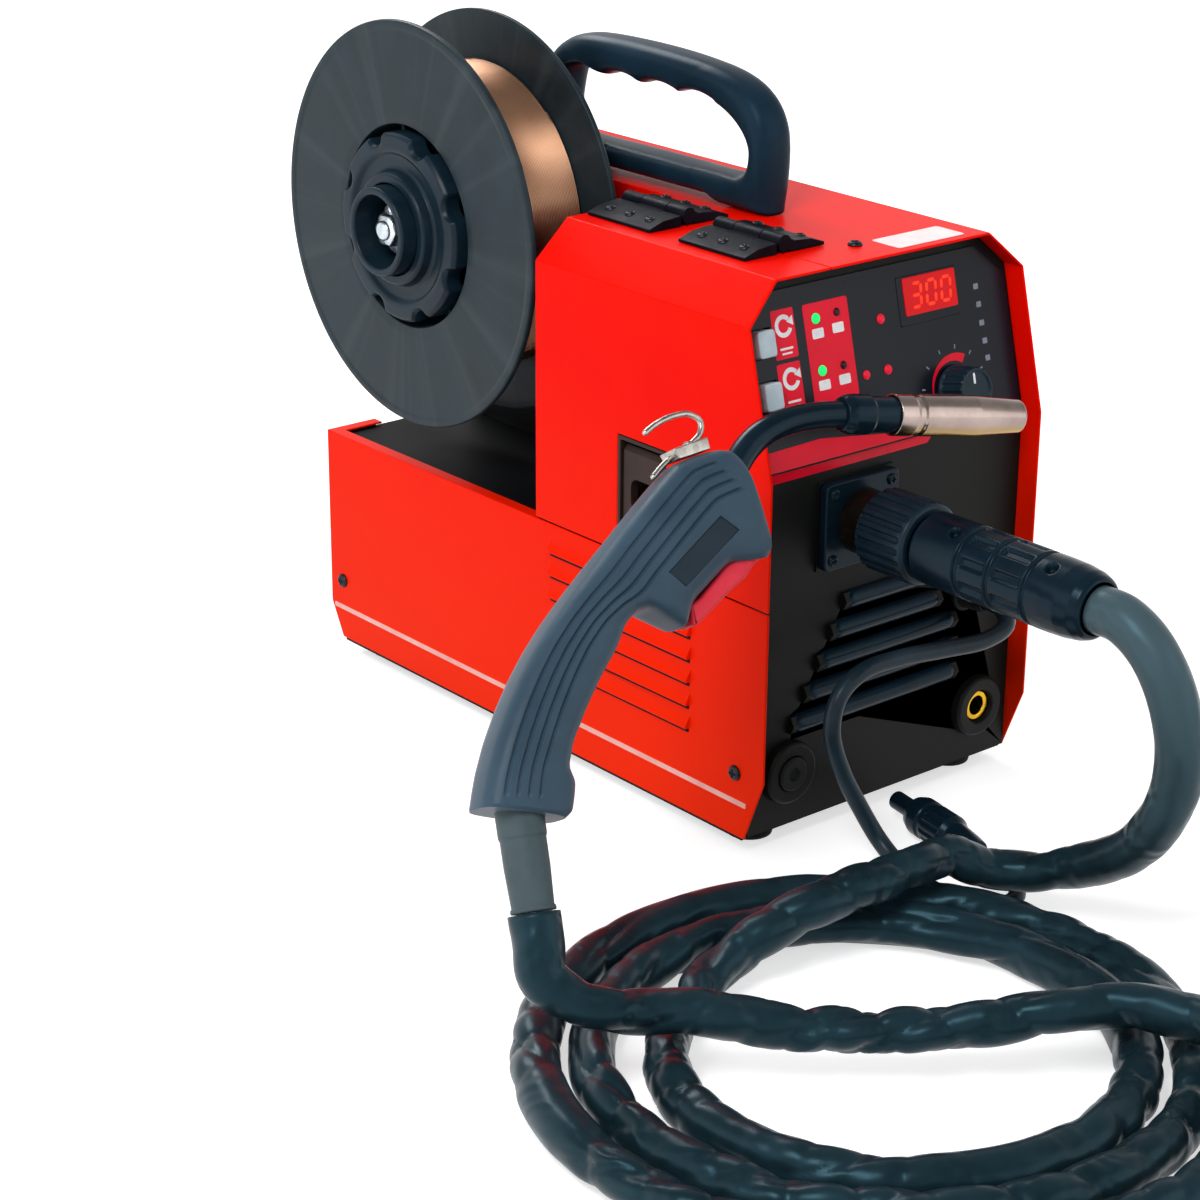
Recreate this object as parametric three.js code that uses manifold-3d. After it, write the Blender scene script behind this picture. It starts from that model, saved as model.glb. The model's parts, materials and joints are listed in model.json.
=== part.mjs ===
// An inverter MIG welding machine with an open spool carrier, its torch and its leads.
// Millimetres. X runs to the right seen from the front, Y to the back, Z up from the floor.
import * as THREE from "three";
import { mergeVertices } from "three/addons/utils/BufferGeometryUtils.js";
import Module from "manifold-3d";

const wasm = await Module();
wasm.setup();

// ---- driving dimensions ----
const gap = 0.3; // clearance between seated pieces
const caseWidth = 170;
const caseLength = 337;
const caseHeight = 264;
const caseBottom = 8; // underside of the side sheets above the floor
const sheet = 1.2; // folded sheet steel
const deckHeight = 121; // top of the low left part that carries the spool
const doorLength = 163; // feeder compartment, from the front edge back
const socketRise = 29; // torch socket and wire line above the deck
const socketZ = deckHeight + socketRise;
const kneeRise = 30; // start of the lean above the torch socket
const kneeHeight = socketZ + kneeRise;
const frontLean = 21; // setback of the front edge at the top
const cornerRun = 19; // sideways size of the roof chamfers
const cornerDrop = 17.5; // height of the roof chamfers
const frontCutRise = 31; // cut-back of the bottom front corners
const frontCutRun = 12;
const rearCutRise = 18;
const rearCutRun = 9.5;
const lipWidth = 7; // turned-in edge of the low left side
const rearLipReach = 30;
const panelRecess = 11; // front panel behind the edge of the hood
const panelWall = 3;
const panelSkirt = 9;
const centreWallX = -2; // partition between feeder side and power side
const hingeLineX = -33; // roof seam under the door hinges
const hingePinHeight = 4.5; // pin axis above the roof
const hingeLength = 44;
const hingeLeafReach = 24;
const hingePlaces = [73, 137];
const doorSeam = 0.8;

const louvreCount = 6;
const louvreLength = 102;
const louvreStart = 50;
const louvreBase = 50;
const louvrePitch = (deckHeight - louvreBase - 2.6) / louvreCount;
const louvreRise = 2.6;

const handleWidth = 22;
const handleFront = 104;
const handleLength = 164;
const handleHeight = 67;
const handleLeftX = 0;

const spoolRadius = 100;
const spoolWidth = 54;
const spoolFaceX = -80; // outer face of the spool
const spoolY = 271.5;
const spoolZ = 240;
const spoolBore = 26;
const barrelRadius = 53;
const windingRadius = 76;
const wireTurns = 8;
const lockNutRadius = 44;
const lockNutProud = 5.5; // the nut's face stands this far out of the spool's face
const hubReach = 18; // and the hub's tube this far
const axleReach = 14.5; // the axle ends inside the tube, near its mouth
const brakeWasherOut = axleReach - 11.2; // the brake washer's inner face, before the spool's face
const hubTubeRadius = 22;

const socketX = -24; // torch socket and wire line
const plugRadius = 16.5;
const plugNutRadius = 19;
const plugLength = 145; // from the front panel to the end of the plug

const dinseX = caseWidth / 2 - 24;
const dinseZ = 36;

const ribCount = 5;
const ribTop = socketZ - 39;
const ribPitch = (ribTop - dinseZ - 22.2) / (ribCount - 1);

const footRadius = 11;

const leadRadius = 10.5;
const polarityRadius = 4;

const torchTurn = 6; // degrees that the torch plane turns from the front plane
const torchLean = 30; // degrees that the torch leans back against the case
const gripThickness = 27;
const neckRadius = 5.8;
const nozzleRadius = 9.2;

const half = caseWidth / 2;
const panelY = panelRecess;
const wallInside = half - sheet;
const panelBack = panelY + panelWall + panelSkirt + 1;
const leanSlope = frontLean / (caseHeight - kneeHeight);
const spoolInnerX = spoolFaceX + spoolWidth;

// ---- finishes ----
function finish(color, roughness, metalness = 0) {
  return new THREE.MeshStandardMaterial({ color, roughness, metalness });
}
const redPaint = finish(0xe2240c, 0.35);
const blackPaint = finish(0x17181a, 0.5);
const blackPlastic = finish(0x1b1e21, 0.45);
const spoolPlastic = finish(0x3a4146, 0.55);
const torchPlastic = finish(0x34424c, 0.5);
const copper = finish(0xc98a62, 0.3, 1);
const brass = finish(0xd0a94a, 0.3, 1);
const steel = finish(0xb9bdc0, 0.35, 1);
const aluminium = finish(0xaeb2b5, 0.4, 1);
const rubber = finish(0x151515, 0.8);
const whitePlastic = finish(0xe6e8e8, 0.4);
const redPlastic = finish(0xc0202c, 0.4);
const displayRed = finish(0x7a0d12, 0.2);
const boardGreen = finish(0x1f5a3a, 0.6);
const sleeve = finish(0x15181a, 0.35);

// ---- solid helpers ----
function toSolid(geometry) {
  const bare = geometry.clone();
  bare.deleteAttribute("normal");
  bare.deleteAttribute("uv");
  const merged = mergeVertices(bare, 1e-4);
  return new wasm.Manifold(
    new wasm.Mesh({
      numProp: 3,
      vertProperties: merged.attributes.position.array,
      triVerts: new Uint32Array(merged.index.array),
    }),
  );
}

function toGeometry(solid) {
  const made = solid.getMesh();
  const geometry = new THREE.BufferGeometry();
  geometry.setAttribute("position", new THREE.BufferAttribute(made.vertProperties, 3));
  geometry.setIndex(new THREE.BufferAttribute(made.triVerts, 1));
  geometry.computeVertexNormals();
  return geometry;
}

function join(first, ...others) {
  let solid = toSolid(first);
  for (const other of others) solid = solid.add(toSolid(other));
  return toGeometry(solid);
}

function cut(first, ...others) {
  let solid = toSolid(first);
  for (const other of others) solid = solid.subtract(toSolid(other));
  return toGeometry(solid);
}

function common(first, second) {
  return toGeometry(toSolid(first).intersect(toSolid(second)));
}

// A box given by its two corners.
function block([x0, y0, z0], [x1, y1, z1]) {
  const geometry = new THREE.BoxGeometry(x1 - x0, y1 - y0, z1 - z0);
  return geometry.translate((x0 + x1) / 2, (y0 + y1) / 2, (z0 + z1) / 2);
}

// Turns a geometry made about +Z so that it stands along the named axis.
const cyclic = new THREE.Matrix4().set(0, 0, 1, 0, 1, 0, 0, 0, 0, 1, 0, 0, 0, 0, 0, 1);
const towardsY = new THREE.Matrix4().set(1, 0, 0, 0, 0, 0, 1, 0, 0, 1, 0, 0, 0, 0, 0, 1);

function flipFaces(geometry) {
  const order = geometry.index ? geometry.index.array : null;
  if (order) {
    for (let i = 0; i < order.length; i += 3) {
      [order[i], order[i + 1]] = [order[i + 1], order[i]];
    }
    return geometry;
  }
  const corners = geometry.attributes.position.array;
  for (let i = 0; i < corners.length; i += 9) {
    for (let k = 0; k < 3; k++) {
      [corners[i + k], corners[i + 3 + k]] = [corners[i + 3 + k], corners[i + k]];
    }
  }
  return geometry;
}

function outline(points) {
  return new THREE.Shape(points.map(([u, v]) => new THREE.Vector2(u, v)));
}

// A shape carried from one place to another. Along x it is drawn in (y, z), along y in (x, z)
// and along z in (x, y).
function carry(axis, shape, from, to, options = {}) {
  const settings = { depth: to - from, bevelEnabled: false, curveSegments: 8, ...options };
  const geometry = new THREE.ExtrudeGeometry(shape, settings).translate(0, 0, from);
  if (axis === "x") geometry.applyMatrix4(cyclic);
  if (axis === "y") flipFaces(geometry.applyMatrix4(towardsY));
  return geometry;
}

function standAlong(axis, geometry) {
  if (axis === "x") geometry.rotateZ(-Math.PI / 2);
  if (axis === "z") geometry.rotateX(Math.PI / 2);
  return geometry;
}

// A round bar along an axis, from one place to another, about the centre [u, v]:
// (y, z) along x, (x, z) along y and (x, y) along z.
function bar(axis, radius, from, to, [u, v], sides = 16, endRadius = radius) {
  const geometry = new THREE.CylinderGeometry(endRadius, radius, to - from, sides);
  standAlong(axis, geometry);
  const middle = (from + to) / 2;
  if (axis === "x") return geometry.translate(middle, u, v);
  if (axis === "y") return geometry.translate(u, middle, v);
  return geometry.translate(u, v, middle);
}

// A turned piece: profile points are [radius, place along the axis], in rising order round it.
function turned(axis, profile, [u, v], sides = 20) {
  const points = profile.map(([r, h]) => new THREE.Vector2(r, h));
  const geometry = new THREE.LatheGeometry(points, sides);
  standAlong(axis, geometry);
  const solid = toSolid(geometry);
  const facing = solid.volume() < 0 ? flipFaces(geometry) : geometry;
  if (axis === "x") return facing.translate(0, u, v);
  if (axis === "y") return facing.translate(u, 0, v);
  return facing.translate(u, v, 0);
}

function roundedRect(width, height, radius) {
  const shape = new THREE.Shape();
  const x = width / 2 - radius;
  const y = height / 2 - radius;
  shape.absarc(x, y, radius, 0, Math.PI / 2);
  shape.absarc(-x, y, radius, Math.PI / 2, Math.PI);
  shape.absarc(-x, -y, radius, Math.PI, Math.PI * 1.5);
  shape.absarc(x, -y, radius, Math.PI * 1.5, Math.PI * 2);
  return shape;
}

// A tube carried along a curve, square at both ends.
function tube(curve, radius, steps, sides) {
  const section = new THREE.Shape();
  for (let i = 0; i < sides; i++) {
    const turn = (2 * Math.PI * i) / sides;
    const [u, v] = [radius * Math.cos(turn), radius * Math.sin(turn)];
    if (i === 0) section.moveTo(u, v);
    else section.lineTo(u, v);
  }
  section.closePath();
  return new THREE.ExtrudeGeometry(section, { extrudePath: curve, steps, bevelEnabled: false });
}

function smoothCurve(points) {
  const places = points.map((p) => new THREE.Vector3(...p));
  return new THREE.CatmullRomCurve3(places, false, "centripetal");
}

// A curve through points that is stepped from point to point.
class StepCurve extends THREE.CatmullRomCurve3 {
  getPointAt(share, target) {
    return this.getPoint(share, target);
  }
  getTangentAt(share, target) {
    return this.getTangent(share, target);
  }
}

function steppedTube(points, radius, sides) {
  const curve = new StepCurve(points, false, "centripetal");
  return tube(curve, radius, points.length - 1, sides);
}

function ease(t) {
  const u = Math.min(Math.max(t, 0), 1);
  return u * u * (3 - 2 * u);
}

// Least clear distance of a tube to itself, leaving out what lies within skip along it.
function leastGap(curve, samples, diameter, skip) {
  const points = curve.getSpacedPoints(samples);
  const length = curve.getLength();
  const apart = Math.ceil((skip / length) * samples);
  let least = Infinity;
  for (let i = 0; i < points.length; i++) {
    for (let j = i + apart; j < points.length; j++) {
      least = Math.min(least, points[i].distanceTo(points[j]) - diameter);
    }
  }
  return least;
}

const machine = new THREE.Group();
const cordNodes = new Set();

function add(name, geometry, material, parent = machine) {
  const mesh = new THREE.Mesh(geometry, material);
  mesh.name = name;
  parent.add(mesh);
  return mesh;
}

// ---- outlines shared by the enclosure ----

// The side of the case in (y, z), grown inwards by inset.
function sideOutline(inset = 0) {
  const low = caseBottom + inset;
  return [
    [frontCutRun + inset * 0.5, low],
    [caseLength - rearCutRun - inset * 0.5, low],
    [caseLength - inset, caseBottom + rearCutRise],
    [caseLength - inset, caseHeight - inset],
    [frontLean + inset, caseHeight - inset],
    [inset, kneeHeight],
    [inset, caseBottom + frontCutRise],
  ];
}

// The roof and right side of the case in (x, z), as a closed outline inset from the outside.
function caseSection(inset, leftX) {
  const slant = inset * 0.42;
  return [
    [leftX, caseHeight - inset],
    [leftX, caseBottom],
    [half - inset, caseBottom],
    [half - inset, caseHeight - cornerDrop - slant],
    [half - cornerRun - slant, caseHeight - inset],
  ];
}

// The whole case in (x, z) with both roof chamfers.
function fullSection(inset, low = caseBottom) {
  const slant = inset * 0.42;
  return [
    [-half + inset, low],
    [half - inset, low],
    [half - inset, caseHeight - cornerDrop - slant],
    [half - cornerRun - slant, caseHeight - inset],
    [-half + cornerRun + slant, caseHeight - inset],
    [-half + inset, caseHeight - cornerDrop - slant],
  ];
}

// Pressed louvres on a side sheet: hoods that stand out of the sheet, open underneath.
function louvreHoods(outside, direction) {
  const hoods = [];
  for (let i = 0; i < louvreCount; i++) {
    const z = louvreBase + i * louvrePitch;
    const inner = outside - direction * 0.5;
    const outer = outside + direction * louvreRise;
    const wedge = [
      [inner, z + 7.6],
      [inner, z],
      [outer, z],
      [outer, z + 1.2],
    ];
    if (direction < 0) wedge.reverse();
    hoods.push(carry("y", outline(wedge), louvreStart, louvreStart + louvreLength));
  }
  return hoods;
}

function louvreSlots(outside, direction) {
  const slots = [];
  const ends = [outside - direction * 4, outside + direction * (louvreRise - 1)];
  const [x0, x1] = [Math.min(...ends), Math.max(...ends)];
  for (let i = 0; i < louvreCount; i++) {
    const z = louvreBase + i * louvrePitch;
    slots.push(block([x0, louvreStart + sheet, z - 1], [x1, louvreStart + louvreLength - sheet, z + 2.6]));
  }
  return slots;
}

// ---- enclosure ----
function basePan() {
  const top = caseBottom - 0.2;
  const edge = half - 0.6;
  const front = frontCutRun + 2;
  const back = caseLength - rearCutRun - 2;
  const flangeX = wallInside - gap;
  const floor = block([-edge, front, top - sheet], [edge, back, top]);
  const flanges = [-1, 1].map((side) => {
    const inner = side * (flangeX - sheet);
    const outer = side * flangeX;
    return block([Math.min(inner, outer), panelBack, top - 0.4], [Math.max(inner, outer), back - 4, top + 15]);
  });
  const slots = [];
  for (const x of [-42, 42]) {
    for (let i = 0; i < 3; i++) {
      const y = 100 + i * 65;
      slots.push(block([x - 26, y, top - 4], [x + 26, y + 5, top + 4]));
    }
  }
  return cut(join(floor, ...flanges), ...slots);
}

function leftSidePanel() {
  const below = block([-half - 5, -5, 0], [half, caseLength + 5, deckHeight - doorSeam / 2]);
  const plate = common(carry("x", outline(sideOutline()), -half, -half + sheet), below);
  const topZ = deckHeight - doorSeam / 2;
  const lip = block(
    [-half, doorLength + doorSeam, topZ - sheet],
    [-half + lipWidth, caseLength, topZ],
  );
  const rearLip = block([-half, caseLength - lipWidth, topZ - sheet], [-half + rearLipReach, caseLength, topZ]);
  const rearFold = block(
    [-half, caseLength - sheet, caseBottom + rearCutRise],
    [-half + rearLipReach, caseLength, topZ],
  );
  return cut(join(plate, lip, rearLip, rearFold, ...louvreHoods(-half, -1)), ...louvreSlots(-half, -1));
}

function mainCover() {
  const outer = carry("y", outline(caseSection(0, hingeLineX)), 0, caseLength);
  const inner = carry("y", outline(caseSection(sheet, hingeLineX - 5)), -5, caseLength + 5);
  const belowOpen = block([hingeLineX - 5, -5, caseBottom - 5], [half - sheet, caseLength + 5, caseBottom + 1]);
  const rearNotch = block(
    [hingeLineX - 5, doorLength, caseBottom],
    [centreWallX, caseLength + 5, caseHeight + 5],
  );
  const shell = cut(outer, inner, belowOpen, rearNotch);
  const sideShape = carry("x", outline(sideOutline()), -half, half + 5);
  const fold = block(
    [centreWallX, doorLength + 2, caseHeight - 10],
    [centreWallX + sheet, caseLength - 2, caseHeight - sheet / 2],
  );
  return cut(join(common(shell, sideShape), fold, ...louvreHoods(half, 1)), ...louvreSlots(half, 1));
}

const latchY = [69, 103];
const latchZ = [deckHeight + 6, deckHeight + 57];

function feederDoor() {
  const low = deckHeight + doorSeam / 2;
  const section = (inset) => {
    const slant = inset * 0.42;
    return [
      [-half + inset, inset ? low - 5 : low],
      [hingeLineX - doorSeam + (inset ? 5 : 0), inset ? low - 5 : low],
      [hingeLineX - doorSeam + (inset ? 5 : 0), caseHeight - inset],
      [-half + cornerRun + slant, caseHeight - inset],
      [-half + inset, caseHeight - cornerDrop - slant],
    ];
  };
  const shell = cut(
    carry("y", outline(section(0)), 0, doorLength),
    carry("y", outline(section(sheet)), -5, doorLength + 5),
  );
  const body = common(shell, carry("x", outline(sideOutline()), -half - 5, half));
  const rearReturn = common(
    cut(
      carry("y", outline(section(0)), doorLength - sheet, doorLength),
      block([-half + 9, 0, 0], [half, caseLength, caseHeight - 9]),
    ),
    block([-half - 5, 0, low], [hingeLineX - doorSeam, caseLength, caseHeight]),
  );
  const window = block([-half - 5, latchY[0], latchZ[0]], [-half + 5, latchY[1], latchZ[1]]);
  return cut(join(body, rearReturn), window);
}

// Tray under the spool with its upright rear wall of the feeder compartment.
function spoolTray() {
  const left = -wallInside + gap;
  const right = centreWallX - gap;
  const floorTop = deckHeight - 2.5;
  const front = panelBack;
  const floor = block([left, front, floorTop - sheet], [right, caseLength - 4, floorTop]);
  const edge = block([left, front, floorTop - sheet], [left + sheet, doorLength - 4, floorTop + 4]);
  const wallY = doorLength - 5;
  const inset = sheet + 0.9;
  const slant = inset * 0.42;
  const wallOutline = [
    [left, floorTop - 0.5],
    [right, floorTop - 0.5],
    [right, caseHeight - inset],
    [-half + cornerRun + slant, caseHeight - inset],
    [left, caseHeight - cornerDrop - slant - 1],
  ];
  const wall = carry("y", outline(wallOutline), wallY, wallY + sheet);
  const wireHole = bar("y", 7, wallY - 3, wallY + 5, [socketX, socketZ], 20);
  const rearFoot = block([left + 32, caseLength - 4 - sheet, floorTop - 14], [right, caseLength - 4, floorTop - 0.5]);
  return cut(join(floor, edge, wall, rearFoot), wireHole);
}

const driveRollY = 90;
const driveRollRadius = 15;
const driveRollZ = socketZ - driveRollRadius;
const gearNeckRadius = 13;

function centreWall() {
  const front = panelBack;
  const shape = outline([
    [front, caseBottom + 0.3],
    [caseLength - panelRecess - panelWall - 1, caseBottom + 0.3],
    [caseLength - panelRecess - panelWall - 1, caseHeight - sheet - gap],
    [front + frontLean, caseHeight - sheet - gap],
    [front, kneeHeight],
  ]);
  const wall = carry("x", shape, centreWallX + sheet + gap, centreWallX + 2 * sheet + gap);
  const gearHole = bar("x", gearNeckRadius + 0.5, centreWallX - 5, centreWallX + 8, [driveRollY, driveRollZ], 24);
  const trayNotch = block(
    [centreWallX - 5, 0, deckHeight - 18],
    [centreWallX + gap, caseLength, deckHeight],
  );
  return cut(wall, gearHole, trayNotch);
}

function cornerFoot(x, y) {
  const top = caseBottom - 0.2 - sheet - gap;
  const profile = [
    [0, 0],
    [footRadius - 1.5, 0],
    [footRadius, 1.5],
    [footRadius - 2, top],
    [0, top],
  ];
  return turned("z", profile, [x, y], 14);
}

// ---- front ----

// The front panel outline in (y, z) follows the lean of the hood.
function panelBand(near, far) {
  const low = caseBottom + 1;
  const high = caseHeight - sheet - gap;
  const lean = (z) => (z - kneeHeight) * leanSlope;
  return [
    [near, low],
    [far, low],
    [far, kneeHeight],
    [far + lean(high), high],
    [near + lean(high), high],
    [near, kneeHeight],
  ];
}

const ribSpan = { left: -30, leftStep: -7.6, right: 22, rightStep: 11 };

function frontPanel() {
  const inside = sheet + gap;
  const section = carry("y", outline(fullSection(inside, caseBottom + 1)), -5, 80);
  const face = common(carry("x", outline(panelBand(panelY, panelY + panelWall)), -half, half), section);
  const deep = common(
    carry("x", outline(panelBand(panelY, panelY + panelWall + panelSkirt)), -half, half),
    cut(section, carry("y", outline(fullSection(inside + 2, caseBottom + 3)), -10, 90)),
  );
  const ribs = [];
  const slots = [];
  for (let i = 0; i < ribCount; i++) {
    const z = ribTop - i * ribPitch;
    const left = ribSpan.left + i * ribSpan.leftStep;
    const right = Math.min(ribSpan.right + i * ribSpan.rightStep, 46);
    const rib = carry("x", new THREE.Shape().absarc(panelY + 0.5, z, 4.6, 0, Math.PI * 2), left, right, {
      curveSegments: 3,
    });
    ribs.push(common(rib, block([-half, 0, 0], [half, panelY + 2.5, caseHeight])));
    slots.push(block([left + 2, panelY - 5, z - ribPitch / 2 - 1.2], [right - 2, panelY + 8, z - ribPitch / 2 + 1.2]));
  }
  const socketSeat = block(
    [socketX - 23, panelY - 1, socketZ - 21],
    [socketX + 23, panelY + 1.5, socketZ + 21],
  );
  const holes = [
    bar("y", euroBodyRadius + 0.6, -5, 40, [socketX, socketZ], 18),
    bar("y", dinseBodyRadius + 2 * gap, -5, 40, [-dinseX, dinseZ], 18),
    bar("y", dinseBodyRadius + 2 * gap, -5, 40, [dinseX, dinseZ], 18),
    bar("y", polarityRadius + 2.4, -5, 40, [polarityExit.x, polarityExit.z], 12),
  ];
  const buttonHoles = buttonPlaces.map(([x, z]) => controlHole(x, z, 11.6, 13.6));
  const knobHole = controlBore(3.8);
  return cut(join(face, deep, ...ribs, socketSeat), ...slots, ...holes, ...buttonHoles, knobHole);
}

// Places on the leaning control panel: s runs up the slope from the knee.
const slopeAngle = Math.atan(leanSlope);
const slopeLength = (caseHeight - kneeHeight) / Math.cos(slopeAngle);

function onSlope(geometry) {
  return geometry.rotateX(-slopeAngle).translate(0, panelY, kneeHeight);
}

// In the panel's own frame x is across, z up the slope, and -y out of the panel.
const buttonX = 14 - half;
const buttonPlaces = [
  [buttonX, slopeLength * 0.658],
  [buttonX, slopeLength * 0.393],
];
const knobPlace = [half - 45, slopeLength * 0.19];

function controlHole(x, s, width, height) {
  return onSlope(block([x - width / 2, -8, s - height / 2], [x + width / 2, 12, s + height / 2]));
}

function controlBore(radius) {
  return onSlope(bar("y", radius, -8, 12, knobPlace, 20));
}

// A thin face plate glued on the leaning part of the panel.
function controlPlate() {
  const width = caseWidth - 2 * sheet - 6;
  const top = slopeLength - 8;
  const plate = outline([
    [-width / 2, -8],
    [width / 2, -8],
    [width / 2, top - cornerDrop + 2],
    [width / 2 - cornerRun + 2, top],
    [-width / 2 + cornerRun - 2, top],
    [-width / 2, top - cornerDrop + 2],
  ]);
  const upper = common(
    carry("y", plate, -gap - 1.2, -gap),
    block([-half, -5, 0.6], [half, 5, slopeLength]),
  );
  const holes = [
    ...buttonPlaces.map(([x, s]) => block([x - 5.6, -8, s - 6.6], [x + 5.6, 8, s + 6.6])),
    bar("y", 3.8, -8, 8, knobPlace, 20),
    block([displayBox.left, -8, displayBox.low], [displayBox.right, 8, displayBox.high]),
  ];
  return onSlope(cut(upper, ...holes));
}

const displayWidth = 38;
const displayBox = {
  left: half - 35 - displayWidth,
  right: half - 35,
  low: slopeLength * 0.5775,
  high: slopeLength * 0.8316,
};

function displayWindow() {
  const fit = 0.4;
  return onSlope(
    block(
      [displayBox.left + fit, -gap - 1.9, displayBox.low + fit],
      [displayBox.right - fit, -gap, displayBox.high - fit],
    ),
  );
}

function pushButton(x, s) {
  const back = panelWall + gap;
  const cap = carry("y", roundedRect(10, 12, 1.5), -5.5, back + 1, { curveSegments: 2 }).translate(x, 0, s);
  const collar = block([x - 7, back, s - 8], [x + 7, back + 2, s + 8]);
  return onSlope(join(cap, collar));
}

function currentKnob() {
  const body = turned(
    "y",
    [
      [0, -16],
      [10, -16],
      [11.5, -2.2],
      [0, -2.2],
    ],
    [0, 0],
    20,
  );
  const grips = [];
  for (let i = 0; i < 10; i++) {
    const turn = (i / 10) * 2 * Math.PI;
    grips.push(bar("y", 1.6, -20, -4, [12 * Math.cos(turn), 12 * Math.sin(turn)], 4));
  }
  const shaft = bar("y", 3.2, -3, 9, [0, 0], 10);
  const pointer = block([-0.7, -20, 3], [0.7, -15.3, 9]);
  const knob = cut(join(body, shaft), ...grips, pointer);
  return onSlope(knob.translate(knobPlace[0], 0, knobPlace[1]));
}

const euroBodyRadius = 15.5;
const euroReach = 14;

// Machine-side torch socket: square flange, threaded barrel and rear tube.
function euroSocket() {
  const face = panelY - 1 - gap;
  const seat = carry("y", roundedRect(44, 40, 3), face - 4, face, { curveSegments: 2 });
  const flange = seat.translate(socketX, 0, socketZ);
  const mouth = face - 4 - euroReach;
  const profile = [
    [4.2, mouth],
    [euroBodyRadius - 0.5, mouth],
    [euroBodyRadius - 0.5, face - 1],
    [euroBodyRadius, face - 1],
    [euroBodyRadius, panelY + 16],
    [6, panelY + 17],
    [6, panelY + 44],
    [2.2, panelY + 44],
    [2.2, panelY + 10],
    [4.2, panelY + 8],
    [4.2, mouth],
  ];
  const barrel = turned("y", profile, [socketX, socketZ], 16);
  return join(cut(flange, bar("y", 10, -30, 30, [socketX, socketZ], 16)), barrel);
}

const dinseBodyRadius = 13;

function dinseSocket(x) {
  const outer = dinseBodyRadius + 2;
  const profile = [
    [7.8, panelY - 3],
    [9, panelY - 5],
    [outer - 1, panelY - 5],
    [outer, panelY - gap],
    [dinseBodyRadius, panelY - gap],
    [dinseBodyRadius, panelY + 20],
    [7.8, panelY + 20],
    [7.8, panelY - 3],
  ];
  return turned("y", profile, [x, dinseZ], 18);
}

function dinseContact(x) {
  const profile = [
    [4.6, panelY - 2.5],
    [7.4, panelY - 2.5],
    [7.5, panelY + 24],
    [0, panelY + 24],
    [0, panelY + 16],
    [4.6, panelY + 16],
    [4.6, panelY - 2.5],
  ];
  return turned("y", profile, [x, dinseZ], 14);
}

const polarityExit = { x: 50, z: ribTop - 15 };

function polarityGland() {
  const inner = polarityRadius + 0.2;
  const profile = [
    [inner, panelY - 16],
    [inner + 1.4, panelY - 16],
    [inner + 2.6, panelY - 3],
    [inner + 4.2, panelY - 2.6],
    [inner + 4.2, panelY - gap],
    [inner + 1.8, panelY - gap],
    [inner + 1.8, panelY + 8],
    [inner, panelY + 8],
    [inner, panelY - 16],
  ];
  return turned("y", profile, [polarityExit.x, polarityExit.z], 12);
}

// ---- rear ----
const fanX = 41;
const fanZ = 178;
const fanRadius = 33;
const rearY = caseLength - panelRecess;
const switchX = 24;
const switchZ = 96;
const cableInletX = 58;
const cableInletZ = 96;
const gasX = -40;
const gasZ = 70;

function rearPanel() {
  const inside = sheet + gap;
  const low = outline([
    [-half + rearLipReach + 1, caseBottom + 2],
    [half - inside, caseBottom + 2],
    [half - inside, deckHeight - 20],
    [-half + rearLipReach + 1, deckHeight - 20],
  ]);
  const high = outline([
    [centreWallX + sheet + gap, deckHeight - 21],
    ...fullSection(inside).slice(1, 4).map(([x, z], i) => (i === 0 ? [x, deckHeight - 21] : [x, z])),
    [centreWallX + sheet + gap, caseHeight - inside],
  ]);
  const plates = join(
    carry("y", low, rearY - panelWall, rearY),
    carry("y", high, rearY - panelWall, rearY),
  );
  const guard = [];
  for (let i = -2; i <= 2; i++) {
    const z = fanZ + i * 12.4;
    const reach = Math.sqrt((fanRadius + 2) ** 2 - (i * 12.4) ** 2);
    guard.push(block([fanX - reach, rearY - 20, z - 4.4], [fanX + reach, rearY + 20, z + 4.4]));
  }
  const webs = block([fanX - 2.4, rearY - panelWall, fanZ - fanRadius], [fanX + 2.4, rearY - 0.4, fanZ + fanRadius]);
  const hub = bar("y", 9, rearY - 6, rearY - 1, [fanX, fanZ], 12);
  const pin = bar("y", 2.4, rearY - 22, rearY - 5, [fanX, fanZ], 10);
  const holes = [
    block([switchX - 11.3, rearY - 20, switchZ - 13.8], [switchX + 11.3, rearY + 20, switchZ + 13.8]),
    bar("y", 11.4, rearY - 20, rearY + 20, [cableInletX, cableInletZ], 14),
    bar("y", 5.4, rearY - 20, rearY + 20, [gasX, gasZ], 10),
  ];
  return cut(join(cut(plates, ...guard), webs, hub, pin), ...holes);
}

function fanRotor() {
  const back = rearY - 8;
  const hub = turned(
    "y",
    [
      [2.7, back - 12],
      [10, back - 12],
      [11, back],
      [2.7, back],
      [2.7, back - 12],
    ],
    [0, 0],
    12,
  );
  const blades = [];
  for (let i = 0; i < 5; i++) {
    const blade = block([9, -1, -8], [fanRadius - 2.5, 1, 8]).rotateX(0.62);
    blades.push(blade.rotateY((i / 5) * 2 * Math.PI).translate(0, back - 6, 0));
  }
  const trim = turned(
    "y",
    [
      [2.7, back - 12],
      [fanRadius - 1.5, back - 12],
      [fanRadius - 1.5, back],
      [2.7, back],
      [2.7, back - 12],
    ],
    [0, 0],
    16,
  );
  return common(join(hub, ...blades), trim).translate(fanX, 0, fanZ);
}

const rockerTilt = 9;

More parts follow.
